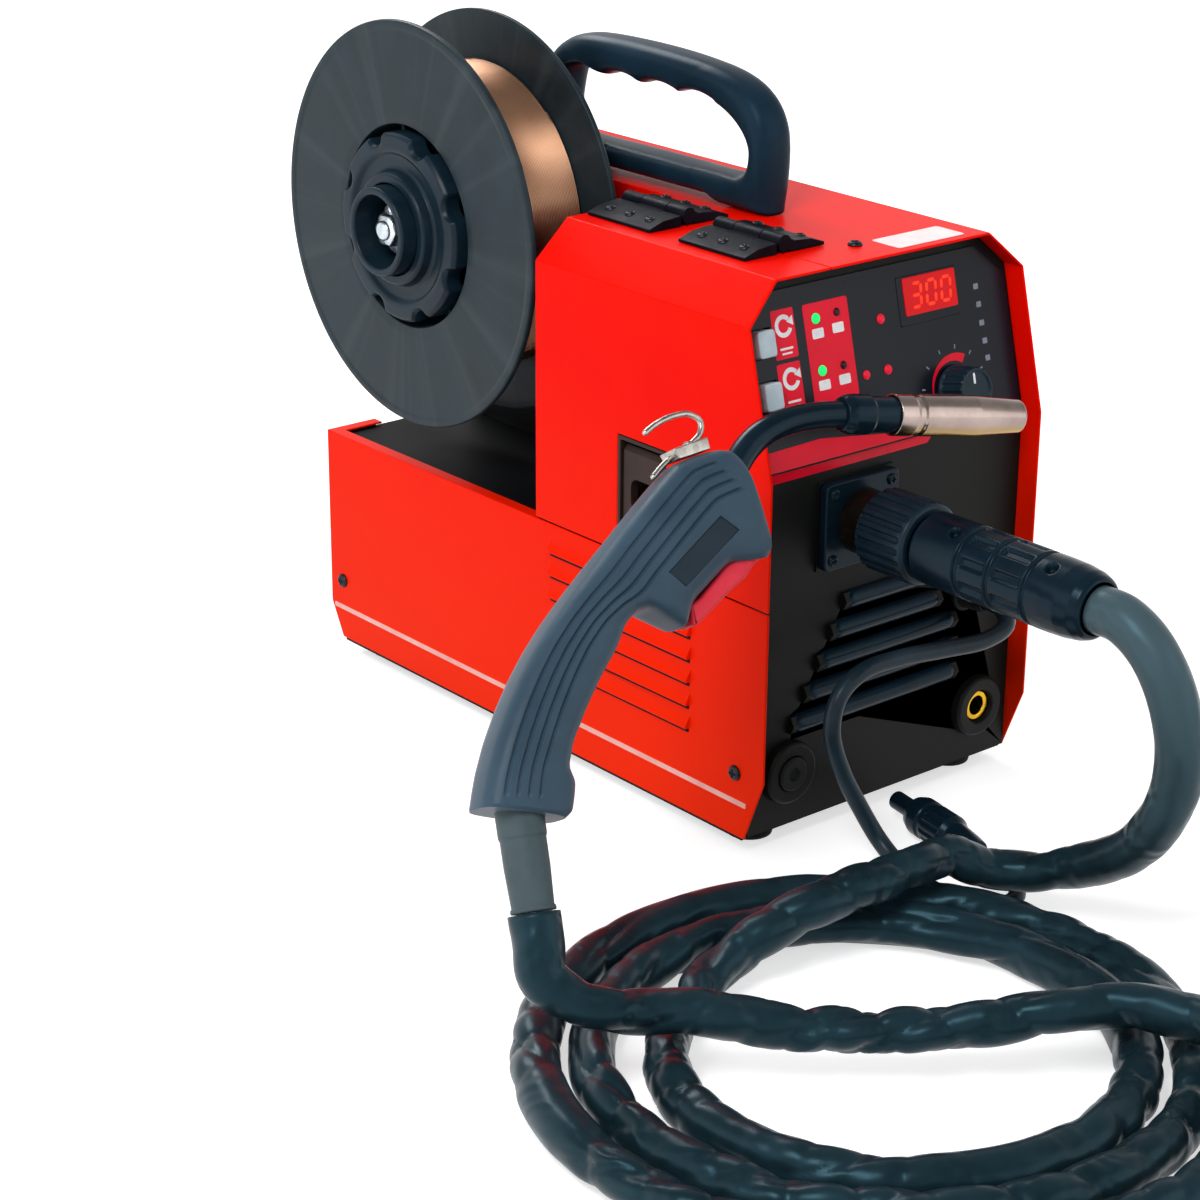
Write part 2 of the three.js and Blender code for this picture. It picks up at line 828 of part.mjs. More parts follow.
function switchFrame() {
  const outer = block([switchX - 13, rearY + gap, switchZ - 15.5], [switchX + 13, rearY + 2.5, switchZ + 15.5]);
  const box = block([switchX - 11, rearY - 16, switchZ - 13.5], [switchX + 11, rearY + 1, switchZ + 13.5]);
  const well = block([switchX - 9, rearY - 13, switchZ - 11.5], [switchX + 9, rearY + 5, switchZ + 11.5]);
  const pins = bar("x", 1.6, switchX - 10, switchX + 10, [rearY - 4, switchZ], 12);
  const slot = block([switchX - 7, rearY - 10, switchZ - 4], [switchX + 7, rearY + 2, switchZ + 4]);
  return join(cut(join(outer, box), well), cut(pins, slot));
}

function switchRocker() {
  const profile = outline([
    [-5.5, -4],
    [-5.5, 4],
    [0.6, 10.6],
    [4.6, 10.2],
    [2.6, 0],
    [4.6, -10.2],
    [0.6, -10.6],
  ]);
  const rocker = carry("x", profile, -8.6, 8.6);
  const bore = bar("x", 2, -12, 12, [0, 0], 12);
  return cut(rocker, bore)
    .rotateX((rockerTilt * Math.PI) / 180)
    .translate(switchX, rearY - 4, switchZ);
}

// Clamp for the mains cable, with no cable in it.
function mainsGland() {
  const profile = [
    [6, rearY - 9],
    [11, rearY - 9],
    [11, rearY + gap],
    [15, rearY + gap],
    [15, rearY + 5],
    [12, rearY + 6],
    [10.5, rearY + 20],
    [6, rearY + 20],
    [6, rearY - 9],
  ];
  return turned("y", profile, [cableInletX, cableInletZ], 14);
}

function gasInlet() {
  const profile = [
    [2, rearY - 14],
    [5, rearY - 14],
    [5, rearY + gap],
    [8.5, rearY + gap],
    [8.5, rearY + 5],
    [5, rearY + 5],
    [3.6, rearY + 20],
    [2, rearY + 20],
    [2, rearY - 14],
  ];
  return turned("y", profile, [gasX, gasZ], 10);
}

// ---- carrying handle and door hinges ----
function carryHandle() {
  const base = caseHeight + gap;
  const y0 = handleFront;
  const y1 = handleFront + handleLength;
  const top = caseHeight + handleHeight;
  const outer = new THREE.Shape();
  outer.moveTo(y0, base);
  outer.lineTo(y0, top - 30);
  outer.bezierCurveTo(y0 + 2, top - 12, y0 + 18, top - 6, y0 + 38, top - 3);
  outer.bezierCurveTo(y0 + 60, top, y1 - 60, top + 1, y1 - 34, top - 1);
  outer.bezierCurveTo(y1 - 12, top - 3, y1 - 2, top - 14, y1, top - 34);
  outer.lineTo(y1, base);
  outer.lineTo(y1 - 30, base);
  outer.lineTo(y1 - 36, base + 3);
  outer.lineTo(y0 + 36, base + 3);
  outer.lineTo(y0 + 30, base);
  const hole = new THREE.Path();
  const legFront = y0 + 12;
  const legBack = y1 - 14;
  const under = top - 19;
  const sill = base + 11;
  hole.moveTo(legFront + 10, sill);
  hole.lineTo(legBack - 10, sill);
  hole.bezierCurveTo(legBack - 2, sill + 2, legBack, sill + 8, legBack, sill + 16);
  hole.lineTo(legBack - 3, under - 4);
  const grooves = 4;
  const start = legBack - 6;
  const pitch = (start - (legFront + 26)) / grooves;
  hole.lineTo(start, under);
  for (let i = 0; i < grooves; i++) {
    const y = start - i * pitch;
    hole.quadraticCurveTo(y - pitch / 2, under + 5, y - pitch, under - 0.6);
  }
  hole.bezierCurveTo(legFront + 12, under - 4, legFront + 1, under - 12, legFront, sill + 14);
  hole.bezierCurveTo(legFront, sill + 6, legFront + 3, sill + 2, legFront + 10, sill);
  outer.holes.push(hole);
  const round = 4;
  const handle = carry("x", outer, handleLeftX + round, handleLeftX + handleWidth - round, {
    bevelEnabled: true,
    bevelThickness: round,
    bevelSize: round * 0.8,
    bevelOffset: -round * 0.8,
    bevelSegments: 1,
    curveSegments: 4,
  });
  const seat = block([handleLeftX - 5, y0 - 5, base - 5], [handleLeftX + handleWidth + 5, y1 + 5, base]);
  return cut(handle, seat);
}

const pinZ = caseHeight + hingePinHeight;

// The hinge leaf that is screwed to the roof carries the outer knuckles and the pin.
function hingeFixed(middle) {
  const y0 = middle - hingeLength / 2;
  const y1 = middle + hingeLength / 2;
  const base = caseHeight + gap;
  const leaf = outline([
    [hingeLineX + 3.2, base],
    [hingeLineX + hingeLeafReach, base],
    [hingeLineX + hingeLeafReach, base + 1.4],
    [hingeLineX + hingeLeafReach - 8, base + 4],
    [hingeLineX + 3.2, base + 5],
  ]);
  const plate = carry("y", leaf, y0, y1);
  const knuckles = [
    [y0, y0 + 13],
    [y1 - 13, y1],
  ].flatMap(([from, to]) => [
    bar("y", 4, from, to, [hingeLineX, pinZ], 12),
    block([hingeLineX, from, base + 0.6], [hingeLineX + 5, to, base + 5.5]),
  ]);
  const pin = bar("y", 1.6, y0 + 1, y1 - 1, [hingeLineX, pinZ], 8);
  const window = block([hingeLineX - 6, y0 + 13, base - 1], [hingeLineX + 5, y1 - 13, base + 12]);
  return join(cut(join(plate, ...knuckles), window), pin);
}

function hingeMoving(middle) {
  const y0 = middle - hingeLength / 2;
  const y1 = middle + hingeLength / 2;
  const base = caseHeight + gap;
  const leaf = outline([
    [hingeLineX - hingeLeafReach, base],
    [hingeLineX - 5, base],
    [hingeLineX - 5, base + 5],
    [hingeLineX - hingeLeafReach + 8, base + 4],
    [hingeLineX - hingeLeafReach, base + 1.4],
  ]);
  const plate = carry("y", leaf, y0, y1);
  const from = y0 + 13 + gap;
  const to = y1 - 13 - gap;
  const knuckle = bar("y", 4, from, to, [hingeLineX, pinZ], 12);
  const bridge = block([hingeLineX - 7, from, base + 1.2], [hingeLineX, to, base + 5]);
  const bore = bar("y", 2.1, from - 5, to + 5, [hingeLineX, pinZ], 8);
  return cut(join(plate, knuckle, bridge), bore);
}

// ---- door latch ----
const latchPivot = { x: -half + 5.5, z: latchZ[1] - 9 };

function latchBezel() {
  const margin = gap;
  const [y0, y1] = [latchY[0] + margin, latchY[1] - margin];
  const [z0, z1] = [latchZ[0] + margin, latchZ[1] - margin];
  const shell = block([-half, y0, z0], [-half + 14, y1, z1]);
  const well = block([-half - 1, y0 + 2, z0 + 2], [-half + 12.5, y1 - 2, z1 - 2]);
  const flange = block([-half + sheet + gap, y0 - 4, z0 - 4], [-half + sheet + gap + 1.5, y1 + 4, z1 + 4]);
  const flangeHole = block([-half - 1, y0 + 1, z0 + 1], [-half + 8, y1 - 1, z1 - 1]);
  const pin = bar("y", 1.5, y0 + 1, y1 - 1, [latchPivot.x, latchPivot.z], 12);
  return join(cut(join(shell, cut(flange, flangeHole)), well), pin);
}

// The flap in the recess: its lower half is pulled, through the finger hole.
function latchPaddle() {
  const y0 = latchY[0] + gap + 3;
  const y1 = latchY[1] - gap - 3;
  const profile = outline([
    [-half + 1.2, latchPivot.z - 33],
    [-half + 3.6, latchPivot.z - 33],
    [-half + 8.4, latchPivot.z],
    [-half + 8.2, latchPivot.z + 3.2],
    [-half + 3.2, latchPivot.z + 4.6],
    [-half + 1.2, latchPivot.z + 2],
  ]);
  const flap = carry("y", profile, y0, y1);
  const bore = bar("y", 1.8, y0 - 5, y1 + 5, [latchPivot.x, latchPivot.z], 12);
  const finger = carry("x", roundedRect(17, 15, 4), -half - 5, -half + 14, { curveSegments: 2 });
  finger.translate(0, (y0 + y1) / 2, latchPivot.z - 18);
  return cut(flap, bore, finger);
}

// ---- spool ----
function wireSpool() {
  const s = (depth) => spoolFaceX + depth;
  const w = spoolWidth;
  const web = 26;
  const profile = [
    [barrelRadius - 3, s(0)],
    [spoolRadius, s(0)],
    [spoolRadius, s(3.6)],
    [barrelRadius, s(2.6)],
    [barrelRadius, s(w - 2.6)],
    [spoolRadius, s(w - 3.6)],
    [spoolRadius, s(w)],
    [barrelRadius - 3, s(w)],
    [barrelRadius - 3, s(web + 3)],
    [spoolBore + 3, s(web + 3)],
    [spoolBore + 3, s(w - 4)],
    [spoolBore, s(w - 4)],
    [spoolBore, s(12)],
    [spoolBore + 3, s(12)],
    [spoolBore + 3, s(web)],
    [barrelRadius - 3, s(web)],
    [barrelRadius - 3, s(0)],
  ];
  const body = turned("x", profile, [spoolY, spoolZ], 32);
  const ribs = [];
  for (let i = 0; i < 4; i++) {
    const rib = block([s(13), spoolBore + 1, -1.2], [s(web + 1), barrelRadius - 1.5, 1.2]);
    ribs.push(rib.rotateX((i * Math.PI) / 2 + 0.4).translate(0, spoolY, spoolZ));
  }
  return join(body, ...ribs);
}

// The wound wire: a plain core under an outer layer that winds from one flange to the other
// and dips square into the core at both ends.
function wireWinding() {
  const left = spoolFaceX + 4.2;
  const right = spoolFaceX + spoolWidth - 4.2;
  const strand = 2.3;
  const bend = 2.4;
  const dip = 2 * strand;
  const layerRadius = windingRadius - strand;
  const coreRadius = layerRadius - bend - dip + 0.9;
  const sleeveProfile = [
    [barrelRadius + 1.2, left],
    [coreRadius, left],
    [coreRadius, right],
    [barrelRadius + 1.2, right],
    [barrelRadius + 1.2, left],
  ];
  const core = turned("x", sleeveProfile, [spoolY, spoolZ], 20);
  const start = left + strand + 0.3;
  const pitch = (right - left - 2 * strand - 0.6) / wireTurns;
  const place = (turns, radius) => {
    const angle = 2 * Math.PI * turns;
    return new THREE.Vector3(
      start + pitch * turns,
      spoolY + radius * Math.sin(angle),
      spoolZ + radius * Math.cos(angle),
    );
  };
  const dipInto = (turns, way) => {
    const low = layerRadius - bend;
    const points = [place(turns, low - dip), place(turns, low)];
    for (const quarter of [0.35, 0.7]) {
      const swing = (quarter * Math.PI) / 2;
      const along = (bend * (1 - Math.cos(swing))) / (2 * Math.PI * layerRadius);
      points.push(place(turns + way * along, low + bend * Math.sin(swing)));
    }
    return points;
  };
  const round = [];
  const steps = wireTurns * 24;
  const lead = bend / (2 * Math.PI * layerRadius);
  for (let i = 0; i <= steps; i++) {
    round.push(place(lead + ((wireTurns - 2 * lead) * i) / steps, layerRadius));
  }
  const points = [...dipInto(0, 1), ...round, ...dipInto(wireTurns, -1).reverse()];
  const layer = new THREE.CatmullRomCurve3(round, false, "centripetal");
  console.log("winding: least gap", leastGap(layer, 1400, 2 * strand, 200).toFixed(2), "mm");
  return join(core, steppedTube(points, strand, 6));
}

function spoolHub() {
  const s = (depth) => spoolFaceX + depth;
  const shoulder = spoolWidth - 4 + gap;
  const profile = [
    [18, s(-hubReach)],
    [hubTubeRadius, s(-hubReach)],
    [hubTubeRadius, s(11.4)],
    [spoolBore - gap, s(12)],
    [spoolBore - gap, s(shoulder)],
    [33, s(shoulder)],
    [33, s(shoulder + 4)],
    [24, s(shoulder + 4)],
    [24, s(shoulder + 12)],
    [18, s(shoulder + 12)],
    [18, s(44)],
    [5.2, s(44)],
    [5.2, s(40)],
    [18, s(40)],
    [18, s(-hubReach)],
  ];
  return turned("x", profile, [spoolY, spoolZ], 18);
}

// Hand nut with eight lobes that holds the spool on its hub: its boss presses the spool's collar.
function lockNut() {
  const front = spoolFaceX - lockNutProud;
  const back = front + 10.9;
  const seat = spoolFaceX + 11.4;
  const lobes = 8;
  const points = [];
  const steps = lobes * 5;
  for (let i = 0; i < steps; i++) {
    const turn = (2 * Math.PI * i) / steps;
    const wave = Math.cos(lobes * turn);
    const radius = lockNutRadius + 2.6 * Math.sign(wave) * Math.pow(Math.abs(wave), 0.45);
    points.push([radius * Math.cos(turn), radius * Math.sin(turn)]);
  }
  const plate = carry("x", outline(points), front + 1.2, back, {
    bevelEnabled: true,
    bevelThickness: 1.2,
    bevelSize: 1.2,
    bevelOffset: -1.2,
    bevelSegments: 1,
  });
  const flatBack = block([back, -60, -60], [back + 5, 60, 60]);
  const collar = bar("x", hubTubeRadius + 5, front - 4, front + 4, [0, 0], 18, hubTubeRadius + 6);
  const boss = bar("x", hubTubeRadius + 8, back - 1, seat, [0, 0], 18);
  const bore = bar("x", hubTubeRadius + 2 * gap, front - 12, seat + 12, [0, 0], 18);
  const dish = turned(
    "x",
    [
      [hubTubeRadius + 8, front - 1],
      [lockNutRadius - 7, front - 1],
      [lockNutRadius - 8, front + 2.5],
      [hubTubeRadius + 9, front + 2.5],
      [hubTubeRadius + 8, front - 1],
    ],
    [0, 0],
    18,
  );
  return cut(join(cut(join(plate, collar), flatBack, dish), boss), bore).translate(0, spoolY, spoolZ);
}

// Fixed axle of the hub, with its mounting flange, brake washer and nut.
function hubAxle() {
  const centre = [spoolY, spoolZ];
  const wallFace = centreWallX - gap;
  const flange = bar("x", 19, wallFace - 9, wallFace, centre, 16, 20.5);
  const sleeveTube = bar("x", 15, spoolInnerX + 8, wallFace - 8, centre, 16);
  const washerFace = spoolFaceX - brakeWasherOut;
  const shaft = bar("x", 4.9, spoolFaceX - axleReach, spoolInnerX + 9, centre, 10);
  const nut = bar("x", 8.5, washerFace - 9, washerFace - 2, centre, 6);
  const washer = bar("x", 13, washerFace - 2, washerFace, centre, 16);
  return join(flange, sleeveTube, shaft, nut, washer, brakeSpring());
}

// The spring that presses the hub against its brake washer, seated on the axle's washer.
function brakeSpring() {
  const wire = 1.1;
  const from = spoolFaceX - brakeWasherOut + wire - 0.3;
  const to = spoolFaceX + 40 - gap - wire;
  const turns = 3;
  const radius = 8.5;
  const points = [];
  for (let i = 0; i <= turns * 8; i++) {
    const angle = (2 * Math.PI * i) / 8;
    const x = from + ((to - from) * i) / (turns * 8);
    points.push(new THREE.Vector3(x, spoolY + radius * Math.cos(angle), spoolZ + radius * Math.sin(angle)));
  }
  const coil = new THREE.CatmullRomCurve3(points, false, "centripetal");
  console.log("brake spring: least gap", leastGap(coil, 400, 2 * wire, 30).toFixed(2), "mm");
  return steppedTube(points, wire, 5);
}

// ---- wire feeder ----
const armPivot = { y: driveRollY - 25, z: socketZ + 17 };
const pressRadius = 11;
const pressRollZ = socketZ + pressRadius + 0.8;
const tensionPivot = { y: driveRollY + 27, z: socketZ - 18 };
const tensionX = socketX + 6.6;
const tensionLean = 26;
const plateFace = centreWallX - 10;
const armTop = pressRollZ + 16;

function feedDrive() {
  const face = centreWallX + sheet;
  const pinEnd = plateFace + 2;
  const plate = carry(
    "x",
    outline([
      [driveRollY - 36, deckHeight - 2],
      [driveRollY + 36, deckHeight - 2],
      [driveRollY + 36, socketZ - 6],
      [driveRollY + 14, socketZ + 6],
      [driveRollY - 14, socketZ + 26],
      [driveRollY - 36, socketZ + 26],
    ]),
    plateFace,
    face,
  );
  const neck = bar("x", gearNeckRadius, face - 1, face + 12, [driveRollY, driveRollZ], 16);
  const gearbox = block(
    [face + 2 * sheet + gap, driveRollY - 24, driveRollZ - 22],
    [face + 26, driveRollY + 24, driveRollZ + 22],
  );
  const motor = bar("x", 19, face + 25, face + 74, [driveRollY, driveRollZ], 16);
  const shaft = bar("x", 4, socketX - 8, pinEnd, [driveRollY, driveRollZ], 10);
  const armPin = bar("x", 3, socketX - 9, pinEnd, [armPivot.y, armPivot.z], 12);
  const tensionPin = bar("x", 2.5, tensionX - 4, pinEnd, [tensionPivot.y, tensionPivot.z], 12);
  const inletPost = block(
    [socketX - 5, driveRollY + 44, socketZ - 5],
    [centreWallX + sheet, driveRollY + 52, socketZ + 5],
  );
  const inletStay = block(
    [centreWallX - 8, driveRollY + 34, socketZ - 18],
    [centreWallX + sheet, driveRollY + 52, socketZ - 4],
  );
  const guide = bar("y", 3.2, driveRollY + 17, driveRollY + 60, [socketX, socketZ], 10);
  const bore = bar("y", 1.2, driveRollY, driveRollY + 70, [socketX, socketZ], 6);
  const body = join(plate, neck, gearbox, motor, shaft, armPin, tensionPin, inletPost, inletStay, guide);
  return cut(body, bore);
}

// A grooved roll on a fixed pin.
function grooveRoll(radius, bore, y, z, width = 12) {
  const from = socketX - width / 2;
  const to = socketX + width / 2;
  const profile = [
    [bore, from],
    [radius, from],
    [radius, socketX - 1],
    [radius - 0.9, socketX],
    [radius, socketX + 1],
    [radius, to],
    [bore, to],
    [bore, from],
  ];
  return turned("x", profile, [y, z], 14);
}

function pressureArm() {
  const left = socketX - 11;
  const right = socketX + 11;
  const cheek = outline([
    [armPivot.y - 8, armPivot.z - 6],
    [armPivot.y + 8, armPivot.z - 8],
    [driveRollY - 6, pressRollZ - 5],
    [driveRollY + 6, pressRollZ - 5],
    [tensionPivot.y + 5, pressRollZ + 6],
    [tensionPivot.y + 5, armTop],
    [armPivot.y + 2, armPivot.z + 8],
    [armPivot.y - 8, armPivot.z + 6],
  ]);
  const body = carry("x", cheek, left, right);
  const rollWell = block(
    [socketX - 7, driveRollY - pressRadius - 2, 0],
    [socketX + 7, driveRollY + pressRadius + 2, pressRollZ + 12.5],
  );
  const pivotBore = bar("x", 3 + gap, left - 5, right + 5, [armPivot.y, armPivot.z], 12);
  const forkSlot = block(
    [tensionX - 3.4, tensionPivot.y - 7, 0],
    [right + 5, tensionPivot.y + 20, pressRollZ + 40],
  );
  const rollPin = bar("x", 2.5, left + 1, right - 1, [driveRollY, pressRollZ], 12);
  return join(cut(body, rollWell, pivotBore, forkSlot), rollPin);
}

// Tension screw with its grooved knob, swung back clear of the arm.
function tensionKnob() {
  const headLow = armTop + 1 - tensionPivot.z;
  const eye = bar("x", 6, -3.4, 3.4, [0, 0], 12);
  const stud = bar("z", 2.4, 3, headLow + 6, [0, 0], 8);
  const head = turned(
    "z",
    [
      [0, headLow],
      [6, headLow],
      [9, headLow + 3],
      [8.6, headLow + 24],
      [0, headLow + 24],
    ],
    [0, 0],
    16,
  );
  const grooves = [];
  for (let i = 0; i < 6; i++) {
    const turn = ((i + 0.5) / 6) * 2 * Math.PI;
    grooves.push(bar("z", 1.6, headLow + 4, headLow + 30, [9.4 * Math.cos(turn), 9.4 * Math.sin(turn)], 4));
  }
  const eyeBore = bar("x", 2.5 + gap, -8, 8, [0, 0], 12);
  return cut(join(eye, stud, head), eyeBore, ...grooves)
    .rotateX((-tensionLean * Math.PI) / 180)
    .translate(tensionX, tensionPivot.y, tensionPivot.z);
}

// ---- power side ----
function powerUnit() {
  const inside = centreWallX + 2 * sheet + gap;
  const x0 = inside + 6;
  const x1 = wallInside - 6;
  const y0 = 60;
  const y1 = 290;
  const z0 = caseBottom + 8;
  const board = block([x0, y0, z0], [x1, y1, z0 + 1.6]);
  const posts = [];
  for (const x of [x0 + 5, x1 - 5]) {
    for (const y of [y0 + 6, y1 - 6]) {
      posts.push(bar("z", 3, caseBottom + 0.1, z0 + 0.5, [x, y], 6));
    }
  }
  const sink = [];
  const sinkY = [150, 230];
  sink.push(block([x0 + 8, sinkY[0], z0 + 1], [x0 + 12, sinkY[1], z0 + 62]));
  for (let i = 0; i < 4; i++) {
    const z = z0 + 8 + i * 15;
    sink.push(block([x0 + 11, sinkY[0], z], [x0 + 38, sinkY[1], z + 1.8]));
  }
  const cans = [];
  for (let i = 0; i < 2; i++) {
    cans.push(bar("z", 14, z0 + 1, z0 + 44, [x0 + 18 + i * 31, 262], 12));
  }
  return join(board, ...posts, ...sink, ...cans, transformer());
}

function transformer() {
  const x0 = centreWallX + 2 * sheet + gap + 10;
  const z0 = caseBottom + 8 + 1;
  const core = block([x0 + 4, 72, z0], [x0 + 58, 138, z0 + 12]);
  const limbs = [block([x0 + 4, 72, z0 + 10], [x0 + 14, 138, z0 + 58]), block([x0 + 48, 72, z0 + 10], [x0 + 58, 138, z0 + 58])];
  const cap = block([x0 + 4, 72, z0 + 50], [x0 + 58, 138, z0 + 62]);
  const coil = bar("z", 15, z0 + 11, z0 + 51, [x0 + 31, 105], 14);
  return join(core, ...limbs, cap, coil);
}

// ---- torch ----
const torch = new THREE.Group();
torch.name = "torch";
torch.position.set(-99.6, -16.2, 212.3);
torch.rotation.set(
  THREE.MathUtils.degToRad(90 - torchLean),
  0,
  THREE.MathUtils.degToRad(-torchTurn),
  "ZXY",
);

// The torch is drawn in its own plane: u to the right, v up, w towards the viewer.
function torchSlab(shape, thickness, round, segments = 2) {
  return carry("z", shape, -thickness / 2 + round, thickness / 2 - round, {
    bevelEnabled: true,
    bevelThickness: round,
    bevelSize: round,
    bevelOffset: -round,
    bevelSegments: segments,
    curveSegments: 4,
  });
}

const triggerPivot = [-29, -51.2];

function torchGrip() {
  const shape = new THREE.Shape();
  shape.moveTo(-37, -3);
  shape.lineTo(-53.5, -4.5);
  shape.bezierCurveTo(-85, -22, -120, -44, -143, -66);
  shape.bezierCurveTo(-160, -84, -174, -100, -183.5, -119);
  shape.lineTo(-182, -124);
  shape.lineTo(-149, -132.5);
  shape.lineTo(-145, -130);
  shape.lineTo(-140.5, -120);
  shape.quadraticCurveTo(-143, -116, -141.5, -112);
  shape.bezierCurveTo(-136, -102, -120, -86, -105, -72);
  shape.quadraticCurveTo(-97, -60, -87, -60);
  shape.lineTo(-79.5, -66.5);
  shape.lineTo(-72, -72.5);
  shape.lineTo(-66, -62.5);
  shape.lineTo(-44, -50);
  shape.lineTo(-22, -53);
  shape.lineTo(-17, -48.5);
  shape.lineTo(-16.5, -19);
  shape.lineTo(-25.5, -5);
  const body = torchSlab(shape, gripThickness, 5, 2);
  const taper = outline([
    [-60, -16],
    [-20, -16],
    [-10, -9.5],
    [-10, -40],
    [-60, -40],
  ]);
  const back = carry("y", taper, -200, 60).translate(0, 0, 0);
  const slimTop = cut(
    body,
    back.clone().rotateZ(Math.PI / 2 + 0.5).translate(-38, 20, -gripThickness),
  );
  const windowLeft = outline([
    [-27, -34.5],
    [-46.5, -27.5],
    [-69, -50],
    [-61, -56.5],
  ]);
  const side = gripThickness / 2;
  const windows = [
    carry("z", windowLeft, side - 1.2, side + 5),
    carry("z", windowLeft, -side - 5, -side + 1.2),
  ];
  const triggerWell = carry(
    "z",
    outline([
      [-72, -79],
      [-70.5, -59],
      [-64, -56],
      [-44, -43.5],
      [-23, -43.5],
      [-20.5, -62],
    ]),
    -7,
    7,
  );
  const neckBore = tube(neckCurve(-3), neckRadius + 1, 8, 8);
  const ridges = [];
  for (let i = 0; i < 2; i++) {
    const shift = 5 + i * 6.4;
    const groove = smoothCurve([
      [-56 + shift * 0.55, -8 - shift, side],
      [-88 + shift * 0.5, -26 - shift * 0.95, side],
      [-118 + shift * 0.6, -46 - shift * 0.8, side],
      [-142 + shift * 0.75, -67 - shift * 0.62, side],
      [-160 + shift * 0.85, -87 - shift * 0.5, side],
      [-170 + shift * 0.9, -102 - shift * 0.42, side],
    ]);
    const channel = tube(groove, 1, 6, 4);
    ridges.push(channel, channel.clone().translate(0, 0, -gripThickness));
  }
  const triggerPin = bar("z", 1.5, -8, 8, triggerPivot, 10);
  return join(cut(slimTop, ...windows, triggerWell, neckBore, ...ridges), triggerPin);
}

function torchTrigger() {
  const shape = outline([
    [-66.5, -64],
    [-66, -70.5],
    [-46, -60],
    [-31, -56],
    [-24.5, -55],
    [-24.5, -47],
    [-30, -46.5],
    [-45, -50],
    [-62, -61],
  ]);
  const body = torchSlab(shape, 12, 1.5, 1);
  const bore = bar("z", 1.8, -12, 12, triggerPivot, 10);
  return cut(body, bore);
}

// The swan neck rises out of the head and bends over to the front.
function neckCurve(extraBack) {
  return smoothCurve([
    [-31 + extraBack * 0.8, -19.5 + extraBack * 0.9, 0],
    [-21.3, -9, 0],
    [-10, -1.5, 0],
    [5, 2.6, 0],
    [22, 3, 0],
    [38, 1, 0],
  ]);
}

function alongTorch(from, to, profile, sides = 16) {
  const axis = new THREE.Vector3(to[0] - from[0], to[1] - from[1], 0);
  const length = axis.length();
  const turnBy = Math.atan2(axis.y, axis.x);
  const geometry = turned("x", profile(length), [0, 0], sides);
  return geometry.rotateZ(turnBy).translate(from[0], from[1], 0);
}

const nozzleStart = [61, -3.2];
const nozzleEnd = [128, -15.4];
const neckEnd = [38, 1];

function torchNeck() {
  const pipe = tube(neckCurve(0), neckRadius, 9, 10);
  const sleevePiece = alongTorch(neckEnd, nozzleStart, (length) => [
    [0, -2.5],
    [neckRadius + 1.6, -2.5],
    [neckRadius + 2.6, 0],
    [neckRadius + 3, length * 0.45],
    [neckRadius + 2, length * 0.5],
    [neckRadius + 2, length + 6],
    [0, length + 6],
  ]);
  return join(pipe, sleevePiece);
}

function gasNozzle() {
  const bore = neckRadius + 2.25;
  return alongTorch(nozzleStart, nozzleEnd, (length) => [
    [bore, gap],
    [nozzleRadius, gap],
    [nozzleRadius, 9],
    [nozzleRadius - 0.7, 11.5],
    [nozzleRadius, 14],
    [nozzleRadius, length * 0.62],
    [nozzleRadius - 2, length],
    [nozzleRadius - 3.4, length],
    [nozzleRadius - 3.4, length - 6],
    [bore, length * 0.55],
    [bore, gap],
  ]);
}

function contactTip() {
  return alongTorch(nozzleStart, nozzleEnd, (length) => [
    [0, 6 + gap],
    [5.6, 6 + gap],
    [5.6, 20],
    [3, 22],
    [3, length - 8],
    [2.2, length - 5],
    [0, length - 5],
  ], 10);
}

// Bent wire hook with its fixing plate on top of the head.
function hangingHook() {
  const plate = carry(
    "z",
    outline([
      [-37, -2.6],
      [-53, -4.1],
      [-54.4, 0.6],
      [-37, 2.6],
    ]),
    -6,
    6,
  );
  const wire = tube(
    smoothCurve([
      [-43.5, 1, 0],
      [-36, 5.5, 0],
      [-34.4, 10.5, 0],
      [-39, 14.2, 0],
      [-47.4, 14.5, 0],
      [-56, 12.6, 0],
      [-63, 9.6, 0],
    ]),
    1.3,
    14,
    6,
  );
  const tail = tube(
    smoothCurve([
      [-47, 0, 0],
      [-57, -4, 0],
      [-65, -9, 0],
    ]),
    1.3,
    4,
    6,
  );
  return join(plate, wire, tail);
}

const supportTop = [-165.6, -127.7];
const supportEnd = [-170.8, -163.5];

function cableSupport() {
  const reach = leadRadius;
  return alongTorch(supportTop, supportEnd, (length) => [
    [0, 1.8],
    [reach - 1.4, 1.8],
    [reach - 1.2, length * 0.5],
    [reach - 2, length],
    [0, length],
  ]);
}

// ---- torch plug ----
const plugBack = panelY - plugLength;

function plugNut() {
  const from = panelY - 48;
  const to = panelY - 19;
  const bore = euroBodyRadius - 0.5 + gap;
  const profile = [
    [bore, to],
    [bore, from + 9],
    [plugRadius - 2.5, from + 9],
    [plugRadius - 2.5, from],
    [plugNutRadius - 2, from],
    [plugNutRadius, from + 4],
    [plugNutRadius, to - 2],
    [plugNutRadius - 1, to],
    [bore, to],
  ];
  const body = turned("y", profile, [0, 0], 20);
  const grooves = [];
  for (let i = 0; i < 10; i++) {
    const turn = (i / 10) * 2 * Math.PI;
    const at = [plugNutRadius * Math.cos(turn), plugNutRadius * Math.sin(turn)];
    grooves.push(bar("y", 1.7, from + 4, to + 5, at, 4));
  }
  return cut(body, ...grooves).translate(socketX, 0, socketZ);
}

